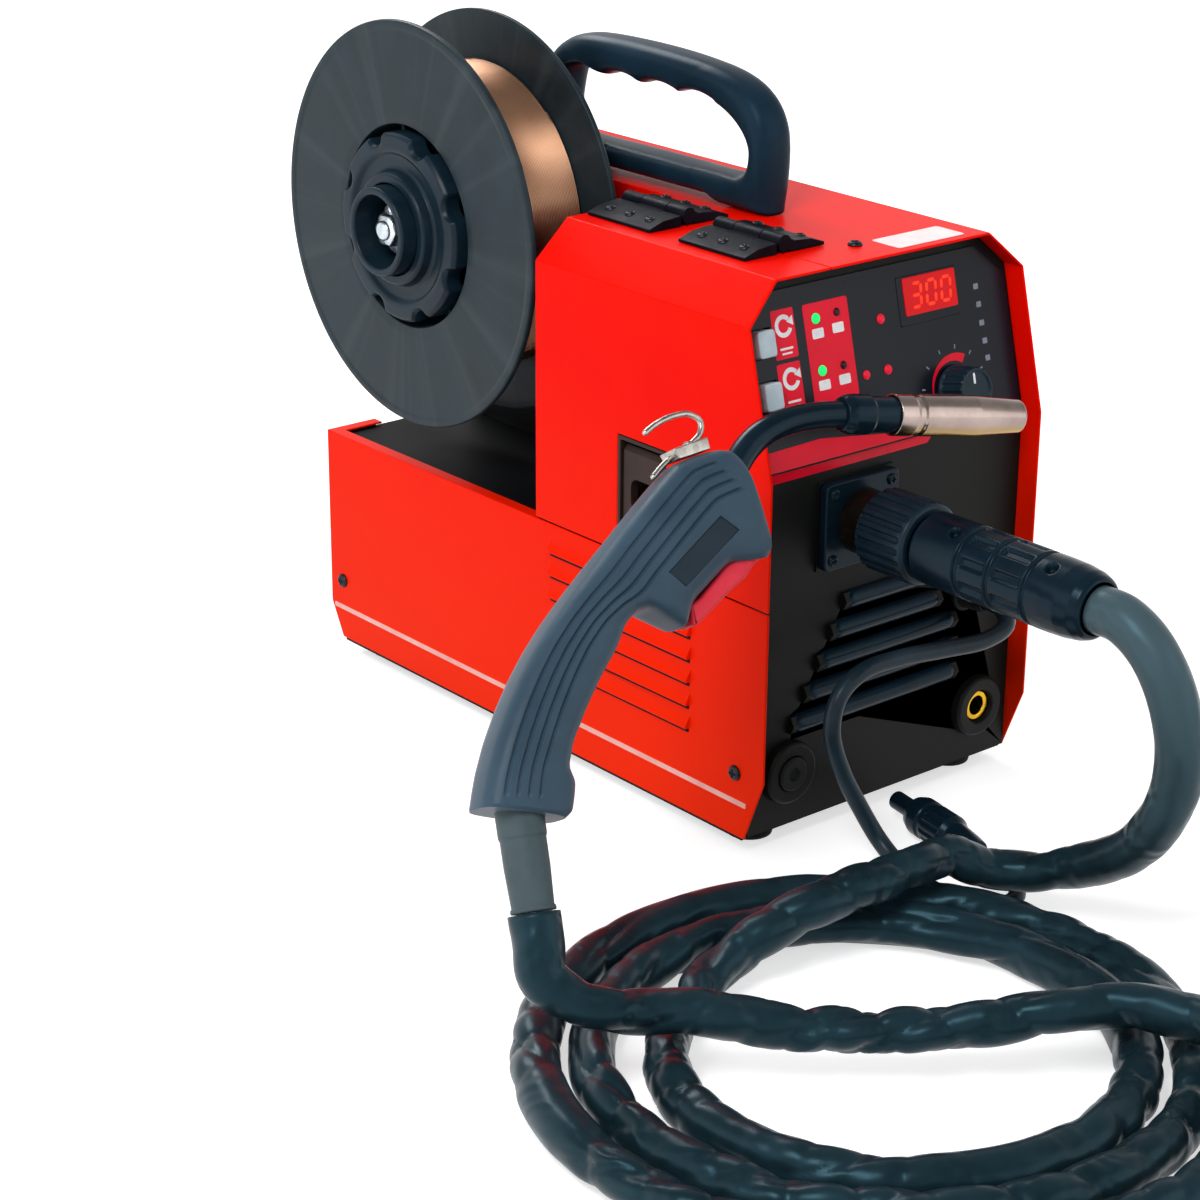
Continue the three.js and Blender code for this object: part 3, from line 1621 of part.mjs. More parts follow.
function plugBody() {
  const front = panelY - 48 + 9 + gap;
  const at = (share) => panelY - 50 + (plugBack - panelY + 50) * share;
  const profile = [
    [0, at(1) + 12],
    [leadRadius - 2.2, at(1) + 12],
    [leadRadius + 0.6, at(1)],
    [plugRadius - 3.5, at(1)],
    [plugRadius - 0.5, at(0.93)],
    [plugRadius, at(0.8)],
    [plugRadius, at(0.62)],
    [plugRadius - 1, at(0.6)],
    [plugRadius, at(0.58)],
    [plugRadius, at(0.34)],
    [plugRadius - 1, at(0.32)],
    [plugRadius, at(0.3)],
    [plugRadius, at(0)],
    [plugRadius - 2.8, at(0)],
    [plugRadius - 2.8, front],
    [plugRadius - 4, front],
    [0, front],
  ];
  const body = turned("y", profile.reverse(), [0, 0], 16);
  const grips = [];
  for (let i = 0; i < 8; i++) {
    const turn = (i / 8) * 2 * Math.PI;
    const at12 = [(plugRadius + 0.5) * Math.cos(turn), (plugRadius + 0.5) * Math.sin(turn)];
    grips.push(bar("y", 1.6, at(0.57), at(0.36), at12, 4));
  }
  const screws = [];
  for (const share of [0.14, 0.86]) {
    screws.push(bar("x", 2.6, -plugRadius - 4, -plugRadius + 3, [at(share), 3], 8));
  }
  return cut(body, ...grips, ...screws).translate(socketX, 0, socketZ);
}

// ---- leads ----
const coilCentre = [-172, -163];
const coilStartAngle = 120;
const coilEndAngle = 262 + 720;
const coilTurns = (coilEndAngle - coilStartAngle) / 360;
const coilOuter = 142;
const coilPitch = 2 * leadRadius + 1.1;
const coilInset = 8;
const straightRun = 2 * leadRadius;

function coilPlace(turns) {
  const angle = THREE.MathUtils.degToRad(coilStartAngle + 360 * turns);
  const pull = coilInset * (1 - ease(turns / 0.3));
  const radius = coilOuter - coilPitch * (coilTurns - turns) - pull;
  return [
    coilCentre[0] + radius * Math.cos(angle),
    coilCentre[1] + radius * Math.sin(angle),
    leadRadius,
  ];
}

// The coil on the floor spirals out from its inner end, with straight ends.
function coilCurve() {
  const points = [];
  const tangent = (turns) => {
    const [a, b] = [coilPlace(turns - 0.002), coilPlace(turns + 0.002)];
    return new THREE.Vector3(b[0] - a[0], b[1] - a[1], 0).normalize();
  };
  const entry = tangent(0.002);
  const leave = tangent(coilTurns - 0.002);
  const start = new THREE.Vector3(...coilPlace(0));
  const end = new THREE.Vector3(...coilPlace(coilTurns));
  for (const share of [1, 0.5]) {
    points.push(start.clone().addScaledVector(entry, -straightRun * share));
  }
  const steps = Math.round(coilTurns * 24);
  for (let i = 0; i <= steps; i++) {
    points.push(new THREE.Vector3(...coilPlace((coilTurns * i) / steps)));
  }
  for (const share of [0.5, 1]) {
    points.push(end.clone().addScaledVector(leave, straightRun * share));
  }
  return new StepCurve(points, false, "centripetal");
}

const leadCoil = coilCurve();
const coilIn = leadCoil.getPoint(0);
const coilOut = leadCoil.getPoint(1);
const coilInWay = leadCoil.getTangent(0.001);
const coilOutWay = leadCoil.getTangent(0.999);

function beside(point, direction, distance) {
  return point.clone().addScaledVector(direction, distance).toArray();
}

const leadStart = [socketX, plugBack - gap, socketZ];

// From the plug the lead bows forward and down, then runs over the coil to its inner end.
const frontRoute = [
  leadStart,
  [-24, -147, socketZ - 0.5],
  [-23, -160, socketZ - 8],
  [-22, -171, socketZ - 22],
  [-21, -178, 108],
  [-20, -178, 86],
  [-20, -171, 66],
  [-20, -157, 48],
  [-20, -138, 34],
  [-23, -120, 25],
  [-32, -105, 21.5],
  [-46, -94, 25],
  [-61, -89, 31.8],
  [-79, -89, 32.6],
  [-99, -89, 32.6],
  [-124, -86, 30.5],
  [-148, -80, 24],
  [-171, -76.5, 14.5],
  beside(coilIn, coilInWay, -gap - 8),
  beside(coilIn, coilInWay, -gap),
];

// From the coil the lead turns back over it, crosses the middle and rises to the torch.
function tailRoute(torchEnd, torchWay) {
  return [
    beside(coilOut, coilOutWay, gap),
    beside(coilOut, coilOutWay, gap + 10),
    [-146, -307, 11.5],
    [-119, -299, 15.5],
    [-99, -282, 25],
    [-89, -262, 32.8],
    [-94, -240, 33],
    [-108, -222, 32.5],
    [-128, -207, 29.5],
    [-155, -186, 24],
    [-183, -164, 22.5],
    [-208, -144, 25],
    [-229, -129, 31],
    [-247, -118, 34],
    [-265, -109, 36.5],
    [-277, -100, 42],
    torchEnd.clone().addScaledVector(torchWay, gap + 24).toArray(),
    torchEnd.clone().addScaledVector(torchWay, gap + 12).toArray(),
    torchEnd.clone().addScaledVector(torchWay, gap).toArray(),
  ];
}

// The short polarity lead hangs in front of the panel and turns back into its plug.
const plugNose = new THREE.Vector3(-3, -3, 9.6);
const plugTail = new THREE.Vector3(-14, -66, 9.6);

const polarityRoute = [
  [polarityExit.x, panelY - 16 - gap, polarityExit.z],
  [50, -14, polarityExit.z - 1],
  [45, -22, polarityExit.z - 5],
  [30, -24, polarityExit.z - 8],
  [5, -22, polarityExit.z - 7],
  [-22, -20, polarityExit.z - 5],
  [-44, -19, polarityExit.z - 6],
  [-58, -19, polarityExit.z - 14],
  [-63, -20, polarityExit.z - 29],
  [-58, -22, 47],
  [-49, -26, 27],
  [-44, -33, 13],
  [-44, -46, 5.6],
  [-47, -64, 4.4],
  [-48, -82, 4.3],
  [-42, -96, 4.3],
  [-30, -102, 4.6],
  [-20, -95, 6.4],
  [-15.8, -80, 9],
];

function polarityPlug() {
  const way = plugNose.clone().sub(plugTail);
  const length = way.length();
  way.normalize();
  const profile = [
    [0, 0],
    [5.6, 0],
    [7.6, 18],
    [9.4, 20],
    [9.4, 33],
    [8.6, 34],
    [8.6, 36],
    [9.4, 37],
    [9.4, length - 20],
    [8, length - 17],
    [4.4, length - 17],
    [4.4, length],
    [0, length],
  ];
  const plug = turned("y", profile, [0, 0], 12);
  const grips = [];
  for (let i = 0; i < 6; i++) {
    const turn = ((i + 0.5) / 6) * 2 * Math.PI;
    grips.push(bar("y", 1.2, 22, 32, [9.6 * Math.cos(turn), 9.6 * Math.sin(turn)], 4));
  }
  const aim = new THREE.Quaternion().setFromUnitVectors(new THREE.Vector3(0, 1, 0), way);
  return cut(plug, ...grips).applyQuaternion(aim).translate(...plugTail.toArray());
}

// ---- assembly ----
add("base_pan", basePan(), blackPaint);
add("left_side_panel", leftSidePanel(), redPaint);
add("main_cover", mainCover(), redPaint);
add("feeder_door", feederDoor(), redPaint);
add("spool_tray", spoolTray(), blackPaint);
add("centre_wall", centreWall(), blackPaint);
add("front_panel", frontPanel(), blackPlastic);
add("rear_panel", rearPanel(), blackPlastic);

const footPlaces = {
  foot_front_left: [-half + 20, frontCutRun + 18],
  foot_front_right: [half - 20, frontCutRun + 18],
  foot_rear_left: [-half + 20, caseLength - rearCutRun - 18],
  foot_rear_right: [half - 20, caseLength - rearCutRun - 18],
};
for (const [name, [x, y]] of Object.entries(footPlaces)) add(name, cornerFoot(x, y), rubber);

add("carry_handle", carryHandle(), blackPlastic);
["front", "rear"].forEach((place, i) => {
  add(`hinge_${place}_fixed`, hingeFixed(hingePlaces[i]), blackPlastic);
  add(`hinge_${place}_moving`, hingeMoving(hingePlaces[i]), blackPlastic);
});
add("latch_bezel", latchBezel(), blackPlastic);
add("latch_paddle", latchPaddle(), blackPlastic);

add("control_plate", controlPlate(), blackPlastic);
add("display_window", displayWindow(), displayRed);
add("button_upper", pushButton(...buttonPlaces[0]), whitePlastic);
add("button_lower", pushButton(...buttonPlaces[1]), whitePlastic);
add("current_knob", currentKnob(), blackPlastic);
add("torch_socket", euroSocket(), brass);
add("dinse_socket_left", dinseSocket(-dinseX), blackPlastic);
add("dinse_socket_right", dinseSocket(dinseX), blackPlastic);
add("dinse_contact_left", dinseContact(-dinseX), brass);
add("dinse_contact_right", dinseContact(dinseX), brass);
add("polarity_gland", polarityGland(), rubber);

add("fan_rotor", fanRotor(), blackPlastic);
add("switch_frame", switchFrame(), blackPlastic);
add("power_switch", switchRocker(), redPlastic);
add("mains_gland", mainsGland(), blackPlastic);
add("gas_inlet", gasInlet(), brass);

add("wire_spool", wireSpool(), spoolPlastic);
add("wire_winding", wireWinding(), copper);
add("spool_hub", spoolHub(), blackPlastic);
add("lock_nut", lockNut(), blackPlastic);
add("hub_axle", hubAxle(), steel);

add("feed_drive", feedDrive(), aluminium);
add("drive_roll", grooveRoll(driveRollRadius, 4 + gap, driveRollY, driveRollZ), steel);
add("pressure_arm", pressureArm(), blackPlastic);
add("pressure_roll", grooveRoll(pressRadius, 2.5 + gap, driveRollY, pressRollZ), steel);
add("tension_knob", tensionKnob(), blackPlastic);

add("power_unit", powerUnit(), boardGreen);

machine.add(torch);
add("torch_grip", torchGrip(), torchPlastic, torch);
add("torch_trigger", torchTrigger(), redPlastic, torch);
add("torch_neck", torchNeck(), blackPlastic, torch);
add("gas_nozzle", gasNozzle(), brass, torch);
add("contact_tip", contactTip(), copper, torch);
add("hanging_hook", hangingHook(), steel, torch);
add("cable_support", cableSupport(), torchPlastic, torch);

add("plug_nut", plugNut(), blackPlastic);
add("plug_body", plugBody(), blackPlastic);

torch.updateMatrixWorld(true);
const torchEnd = new THREE.Vector3(supportEnd[0], supportEnd[1], 0).applyMatrix4(torch.matrixWorld);
const torchTop = new THREE.Vector3(supportTop[0], supportTop[1], 0).applyMatrix4(torch.matrixWorld);
const torchWay = torchEnd.clone().sub(torchTop).normalize();

const frontLead = smoothCurve(frontRoute);
const tailLead = smoothCurve(tailRoute(torchEnd, torchWay));
const polarityWay = plugTail.clone().sub(plugNose).normalize();
const polarityLead = smoothCurve([
  ...polarityRoute,
  plugTail.clone().addScaledVector(polarityWay, gap + 6).toArray(),
  plugTail.clone().addScaledVector(polarityWay, gap).toArray(),
]);

add("torch_lead_front", tube(frontLead, leadRadius, 25, 8), sleeve);
add("torch_lead_coil", tube(leadCoil, leadRadius, leadCoil.points.length - 1, 6), sleeve);
add("torch_lead_tail", tube(tailLead, leadRadius, 24, 8), sleeve);
add("polarity_lead", tube(polarityLead, polarityRadius, 30, 8), rubber);
add("polarity_plug", polarityPlug(), blackPlastic);
for (const name of ["torch_lead_front", "torch_lead_coil", "torch_lead_tail", "polarity_lead", "polarity_plug"]) {
  cordNodes.add(name);
}
console.log("coil: least gap", leastGap(leadCoil, 900, 2 * leadRadius, 300).toFixed(2), "mm");
const lengths = { front: frontLead, coil: leadCoil, tail: tailLead, polarity: polarityLead };
for (const [name, curve] of Object.entries(lengths)) {
  console.log("lead", name, curve.getLength().toFixed(0), "mm");
}

// The part's frame stands on the floor under the middle of the machine and its torch.
machine.updateMatrixWorld(true);
const footprint = new THREE.Box3();
machine.traverse((piece) => {
  if (piece.isMesh && !cordNodes.has(piece.name)) footprint.expandByObject(piece, true);
});
const middle = footprint.getCenter(new THREE.Vector3());
machine.position.set(-middle.x, -middle.y, -footprint.min.z);
console.log("shift", machine.position.toArray().map((v) => v.toFixed(3)).join(" "));

export default machine;
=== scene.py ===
import json
import math

import bmesh
import bpy
import numpy as np
from mathutils import Matrix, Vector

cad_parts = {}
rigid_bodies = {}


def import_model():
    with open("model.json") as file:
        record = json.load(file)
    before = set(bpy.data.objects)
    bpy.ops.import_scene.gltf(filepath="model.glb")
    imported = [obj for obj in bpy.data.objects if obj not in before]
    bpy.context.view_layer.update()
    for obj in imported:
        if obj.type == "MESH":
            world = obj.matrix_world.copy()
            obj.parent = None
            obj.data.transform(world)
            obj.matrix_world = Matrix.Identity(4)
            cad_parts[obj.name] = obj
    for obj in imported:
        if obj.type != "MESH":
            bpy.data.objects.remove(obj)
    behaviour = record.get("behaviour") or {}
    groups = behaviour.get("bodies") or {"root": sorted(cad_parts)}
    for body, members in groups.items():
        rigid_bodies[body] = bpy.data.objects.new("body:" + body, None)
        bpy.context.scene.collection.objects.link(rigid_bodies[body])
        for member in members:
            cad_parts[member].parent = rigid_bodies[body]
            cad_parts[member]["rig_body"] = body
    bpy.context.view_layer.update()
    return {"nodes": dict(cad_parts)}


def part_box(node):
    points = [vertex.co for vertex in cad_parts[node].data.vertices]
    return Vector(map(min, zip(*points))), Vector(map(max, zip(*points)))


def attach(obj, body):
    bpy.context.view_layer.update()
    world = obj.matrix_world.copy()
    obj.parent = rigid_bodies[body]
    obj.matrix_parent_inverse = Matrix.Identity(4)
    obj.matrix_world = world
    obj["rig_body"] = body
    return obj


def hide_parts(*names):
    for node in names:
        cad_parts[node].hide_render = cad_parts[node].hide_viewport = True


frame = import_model()
print("frame loaded")

# Lengths are millimetres in the machine's own measure: x right of the case's middle, y back from
# its front edge, z up from the floor. toFrame turns them into the frame's metres.
case = {
    "half": 85, "length": 337, "height": 264, "bottom": 8, "knee": 180, "lean": 21, "louvreRise": 2.6,
    "panelY": 11,
}
coverLow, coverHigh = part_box("main_cover")
origin = np.array([coverHigh.x - (case["half"] + case["louvreRise"]) / 1000, coverLow.y, 0])
panelY, rearY = case["panelY"], case["length"] - case["panelY"]


def toFrame(points):
    return np.asarray(points, float) / 1000 + origin


def unit(v):
    v = np.asarray(v, float)
    return v / np.linalg.norm(v, axis=-1, keepdims=True)


def gridFaces(rows, columns, ring=False):
    # quads between neighbours of a grid whose columns close on themselves
    i, j = np.meshgrid(np.arange(rows if ring else rows - 1), np.arange(columns), indexing="ij")
    below, beside = (i + 1) % rows, (j + 1) % columns
    corners = [i * columns + j, i * columns + beside, below * columns + beside, below * columns + j]
    return np.stack(corners, -1).reshape(-1, 4)


def shell(grid, ring=False, cap="fan"):
    # a grid of points as closed faces: a ring joins its ends, and otherwise each end is capped
    grid = np.asarray(grid, float)
    rows, columns = grid.shape[:2]
    points, faces = grid.reshape(-1, 3), gridFaces(rows, columns, ring).tolist()
    last = (rows - 1) * columns
    if not ring and cap == "face":
        faces += [list(range(columns))[::-1], list(range(last, last + columns))]
    elif not ring:
        j = np.arange(columns)
        k = (j + 1) % columns
        hub = np.full(columns, rows * columns)
        faces += np.stack([k, j, hub], 1).tolist() + np.stack([last + j, last + k, hub + 1], 1).tolist()
        points = np.vstack([points, grid[0].mean(0), grid[-1].mean(0)])
    return points, faces


def roundCorners(points, radius, steps=3, closed=False):
    # each corner P becomes (1-t)^2 A + 2t(1-t) P + t^2 B, with A and B cut back from it by radius
    p = np.asarray(points, float)
    if closed:
        before, after = np.roll(p, 1, 0) - p, np.roll(p, -1, 0) - p
    else:
        before, after = np.vstack([p[:1], p[:-1]]) - p, np.vstack([p[1:], p[-1:]]) - p
    farBefore = np.linalg.norm(before, axis=1, keepdims=True)
    farAfter = np.linalg.norm(after, axis=1, keepdims=True)
    back = np.minimum(np.minimum(radius, 0.48 * farBefore), 0.48 * farAfter)
    a = p + before / np.maximum(farBefore, 1e-9) * back
    b = p + after / np.maximum(farAfter, 1e-9) * back
    t = np.linspace(0, 1, steps + 1)[None, :, None]
    curve = (1 - t) ** 2 * a[:, None] + 2 * t * (1 - t) * p[:, None] + t**2 * b[:, None]
    curve = curve.reshape(-1, p.shape[1])
    return curve if closed else curve[steps:-steps]


def turned(profile, base, way, sides, swell=None, pattern=None):
    # P(h, t) = base + way h + (side cos t + up sin t)(r + swell pattern(t))
    profile, way = np.asarray(profile, float), unit(way)
    side = unit(np.cross(way, (0, 0, 1) if abs(way[2]) < 0.9 else (0, 1, 0)))
    up = np.cross(way, side)
    turn = np.linspace(0, 2 * np.pi, sides, endpoint=False)
    reach = np.repeat(profile[:, :1], sides, 1)
    if pattern is not None:
        reach = reach + np.outer(swell, pattern(turn))
    spoke = np.cos(turn)[:, None] * side + np.sin(turn)[:, None] * up
    return np.asarray(base, float) + way * profile[:, 1][:, None, None] + spoke[None] * reach[..., None]


def teeth(count, steep, rise=0.0):
    # clip(steep cos(count t) + rise, 0, 1): flat-topped ribs with sloping sides
    return lambda t: np.clip(np.cos(count * t) * steep + rise, 0, 1)


def lathe(corners, soft, base, way, sides=48, ring=False, steps=None, cut=None):
    # corners (radius, height) rounded by soft and turned; cut is a depth, where(r, h) and wave(t) of it
    profile = np.asarray(corners, float)
    if soft:
        profile = roundCorners(profile, soft, steps or (2 if ring else 3), closed=ring)
    if cut is None:
        return shell(turned(profile, base, way, sides), ring)
    depth, where, wave = cut
    return shell(turned(profile, base, way, sides, -depth * where(profile[:, 0], profile[:, 1]), wave), ring)


def throughPoints(points, perSpan=12):
    # centripetal Catmull-Rom: a cubic on each span whose end slopes weigh the neighbours' distances
    p = np.asarray(points, float)
    p = np.vstack([2 * p[0] - p[1], p, 2 * p[-1] - p[-2]])
    d = np.linalg.norm(np.diff(p, axis=0), axis=1, keepdims=True) ** 0.5
    p0, p1, p2, p3 = p[:-3], p[1:-2], p[2:-1], p[3:]
    d0, d1, d2 = d[:-2], d[1:-1], d[2:]
    m1 = ((p1 - p0) / d0 - (p2 - p0) / (d0 + d1) + (p2 - p1) / d1) * d1
    m2 = ((p2 - p1) / d1 - (p3 - p1) / (d1 + d2) + (p3 - p2) / d2) * d1
    t = np.linspace(0, 1, perSpan, endpoint=False)[None, :, None]
    a, b, s1, s2 = p1[:, None], p2[:, None], m1[:, None], m2[:, None]
    curve = a + s1 * t + (3 * (b - a) - 2 * s1 - s2) * t**2 + (2 * (a - b) + s1 + s2) * t**3
    return np.vstack([curve.reshape(-1, p.shape[1]), p2[-1:]])


def evenly(points, spacing):
    # the same line with its points at equal distances along it
    far = np.r_[0, np.cumsum(np.linalg.norm(np.diff(points, axis=0), axis=1))]
    at = np.linspace(0, far[-1], max(2, int(round(far[-1] / spacing)) + 1))
    return np.stack([np.interp(at, far, points[:, k]) for k in range(points.shape[1])], 1), at


def carried(path, radius, sides=24):
    # P(s, t) = path(s) + r(s, t)(u(s) cos t + v(s) sin t), with u and v turned as little as may be
    way = unit(np.gradient(path, axis=0))
    u = np.empty_like(way)
    u[0] = unit(np.array([0, 0, 1.0]) - way[0] * way[0, 2])
    for i in range(1, len(path)):
        u[i] = unit(u[i - 1] - way[i] * np.dot(u[i - 1], way[i]))
    v = np.cross(way, u)
    t = np.linspace(0, 2 * np.pi, sides, endpoint=False)
    around = u[:, None] * np.cos(t)[None, :, None] + v[:, None] * np.sin(t)[None, :, None]
    return path[:, None] + around * np.broadcast_to(radius, (len(path), sides))[..., None]


def plate(outline, low, high, edge, place, steps=3):
    # an outline carried from low to high, with its edge rounded over by insets edge(1 - sin a)
    outline = np.asarray(outline, float)
    along = unit(np.roll(outline, -1, 0) - np.roll(outline, 1, 0))
    area = np.sum(outline[:, 0] * np.roll(outline[:, 1], -1) - np.roll(outline[:, 0], -1) * outline[:, 1])
    inward = np.stack([-along[:, 1], along[:, 0]], 1) * np.sign(area)
    a = np.linspace(0, np.pi / 2, steps + 1)
    inset = np.r_[edge * (1 - np.sin(a)), edge * (1 - np.sin(a[::-1]))]
    depth = np.r_[low + edge * (1 - np.cos(a)), high - edge * (1 - np.cos(a[::-1]))]
    flat = outline[None] + inward[None] * inset[:, None, None]
    deep = np.broadcast_to(depth[:, None, None], flat.shape[:2] + (1,))
    return shell(place(np.concatenate([flat, deep], -1)), cap="face")


def roundedBox(width, height, radius, centre=(0, 0)):
    w, h = width / 2, height / 2
    return roundCorners([(w, h), (-w, h), (-w, -h), (w, -h)], radius * 1.15, 4, closed=True) + centre


def boxBetween(x0, x1, y0, y1, corner=0.8):
    return roundedBox(x1 - x0, y1 - y0, corner, ((x0 + x1) / 2, (y0 + y1) / 2))


def facing(axis, at=0, sign=1):
    # a plate's (u, v, depth) stood on a plane: depth runs from at along sign times the axis
    def place(p):
        u, v, depth = p[..., 0], p[..., 1], at + sign * p[..., 2]
        return np.stack({"x": [depth, u, v], "y": [u, depth, v], "z": [u, v, depth]}[axis], -1)
    return place


def onPanel(points):
    # x across, s up the slope from the knee and out of the leaning control panel
    p = np.asarray(points, float)
    a = math.atan(case["lean"] / (case["height"] - case["knee"]))
    x, s, out = p[..., 0], p[..., 1], p[..., 2]
    y = panelY + s * math.sin(a) - out * math.cos(a)
    return np.stack([x, y, case["knee"] + s * math.cos(a) + out * math.sin(a)], -1)


def cleaned(mesh, flatten=False):
    # doubles merged, flats joined where asked, faces turned outwards
    made = bmesh.new()
    made.from_mesh(mesh)
    bmesh.ops.remove_doubles(made, verts=made.verts, dist=2e-6)
    if flatten:
        bmesh.ops.dissolve_limit(made, angle_limit=math.radians(0.6), verts=made.verts, edges=made.edges)
    else:
        bmesh.ops.dissolve_degenerate(made, edges=made.edges, dist=1e-7)
    bmesh.ops.recalc_face_normals(made, faces=made.faces)
    made.to_mesh(mesh)
    made.free()
    mesh.polygons.foreach_set("use_smooth", np.ones(len(mesh.polygons), bool))
    return mesh


def meshOf(name, shells):
    # closed shells joined in one mesh
    points, faces, start = [], [], 0
    for shellPoints, shellFaces in shells if isinstance(shells, list) else [shells]:
        points.append(shellPoints)
        faces += [[start + i for i in face] for face in shellFaces]
        start += len(shellPoints)
    mesh = bpy.data.meshes.new(name)
    mesh.from_pydata(toFrame(np.vstack(points)).tolist(), [], faces)
    return cleaned(mesh)


def setPiece(name, mesh, look, body, replaces=(), slot=None, even=True, bevel=0):
    # slot is not used; bevel rounds the sharp edges, in millimetres
    piece = bpy.data.objects.new(name, mesh)
    bpy.context.scene.collection.objects.link(piece)
    mesh.materials.clear()
    mesh.materials.append(finishes[look]["material"])
    if bevel:
        edge = piece.modifiers.new("edge", "BEVEL")
        edge.width, edge.segments, edge.limit_method = bevel / 1000, 2, "ANGLE"
        edge.angle_limit, edge.use_clamp_overlap = math.radians(34), True
        edge.miter_outer = "MITER_ARC"
    if even:
        piece.modifiers.new("shade", "WEIGHTED_NORMAL").keep_sharp = True
    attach(piece, body)
    if replaces:
        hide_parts(*([replaces] if isinstance(replaces, str) else replaces))
    return piece


def addPiece(name, shells, look, body="chassis", **options):
    return setPiece(name, meshOf(name, shells), look, body, **options)


def linear(code):
    # an sRGB hex value as linear colour: ((c + 0.055) / 1.055)^2.4, or c / 12.92 below 0.04045
    parts = [int(code[i:i + 2], 16) / 255 for i in (1, 3, 5)]
    return tuple(((c + 0.055) / 1.055) ** 2.4 if c > 0.04045 else c / 12.92 for c in parts) + (1,)


def addNode(tree, kind, settings=None, links=None):
    # one node, its settings or input values, and what feeds its inputs
    node = tree.nodes.new("ShaderNode" + kind)
    for key, value in (settings or {}).items():
        if isinstance(key, str) and hasattr(node, key):
            setattr(node, key, value)
        else:
            node.inputs[key].default_value = value
    for key, (source, output) in (links or {}).items():
        tree.links.new(source.outputs[output], node.inputs[key])
    return node


def makeFinish(name, tones, patch, grain, lift, gloss, slot, more=None):
    # the colour drifts between two tones over patches, the gloss with it, and a grain lifts the face
    shading = dict(more or {})
    if "Metallic" not in shading:
        shading = {"Specular IOR Level": 0.16, **shading}
    material = bpy.data.materials.new(name)
    material.use_nodes = True
    tree = material.node_tree
    tree.nodes.clear()
    place = addNode(tree, "TexCoord")
    patches = addNode(
        tree, "TexNoise", {"Scale": 1000 / patch, "Detail": 4.0, "Roughness": 0.6}, {"Vector": (place, "Object")}
    )
    spread = addNode(tree, "MapRange", {"From Min": 0.32, "From Max": 0.68}, {"Value": (patches, "Fac")})
    colours = {"data_type": "RGBA", 6: linear(tones[0]), 7: linear(tones[1])}
    tone = addNode(tree, "Mix", colours, {0: (spread, "Result")})
    shine = addNode(tree, "MapRange", {"To Min": gloss[0], "To Max": gloss[1]}, {"Value": (spread, "Result")})
    speck = addNode(tree, "TexNoise", {"Scale": 1000 / grain, "Detail": 2.0}, {"Vector": (place, "Object")})
    bump = addNode(tree, "Bump", {"Strength": 1.0, "Distance": lift / 1000}, {"Height": (speck, "Fac")})
    shader = addNode(
        tree, "BsdfPrincipled", shading,
        {"Base Color": (tone, 2), "Roughness": (shine, "Result"), "Normal": (bump, "Normal")},
    )
    addNode(tree, "OutputMaterial", links={"Surface": (shader, 0)})
    return {
        "material": material, "slot": slot, "tree": tree, "place": place, "tone": tone, "bump": bump,
        "shader": shader,
    }


def mixOver(finish, share, code):
    # another colour laid over a finish where share, a node and its output, is high
    tree = finish["tree"]
    both = addNode(
        tree, "Mix", {"data_type": "RGBA", 7: linear(code)}, {0: share, 6: (finish["tone"], 2)}
    )
    tree.links.new(both.outputs[2], finish["shader"].inputs["Base Color"])


def sheen(level, tint="#ffffff"):
    return {"Specular IOR Level": level, "Specular Tint": linear(tint)}


def lit(code, strength):
    return {"Emission Color": linear(code), "Emission Strength": strength}


metal = {"Metallic": 1.0}
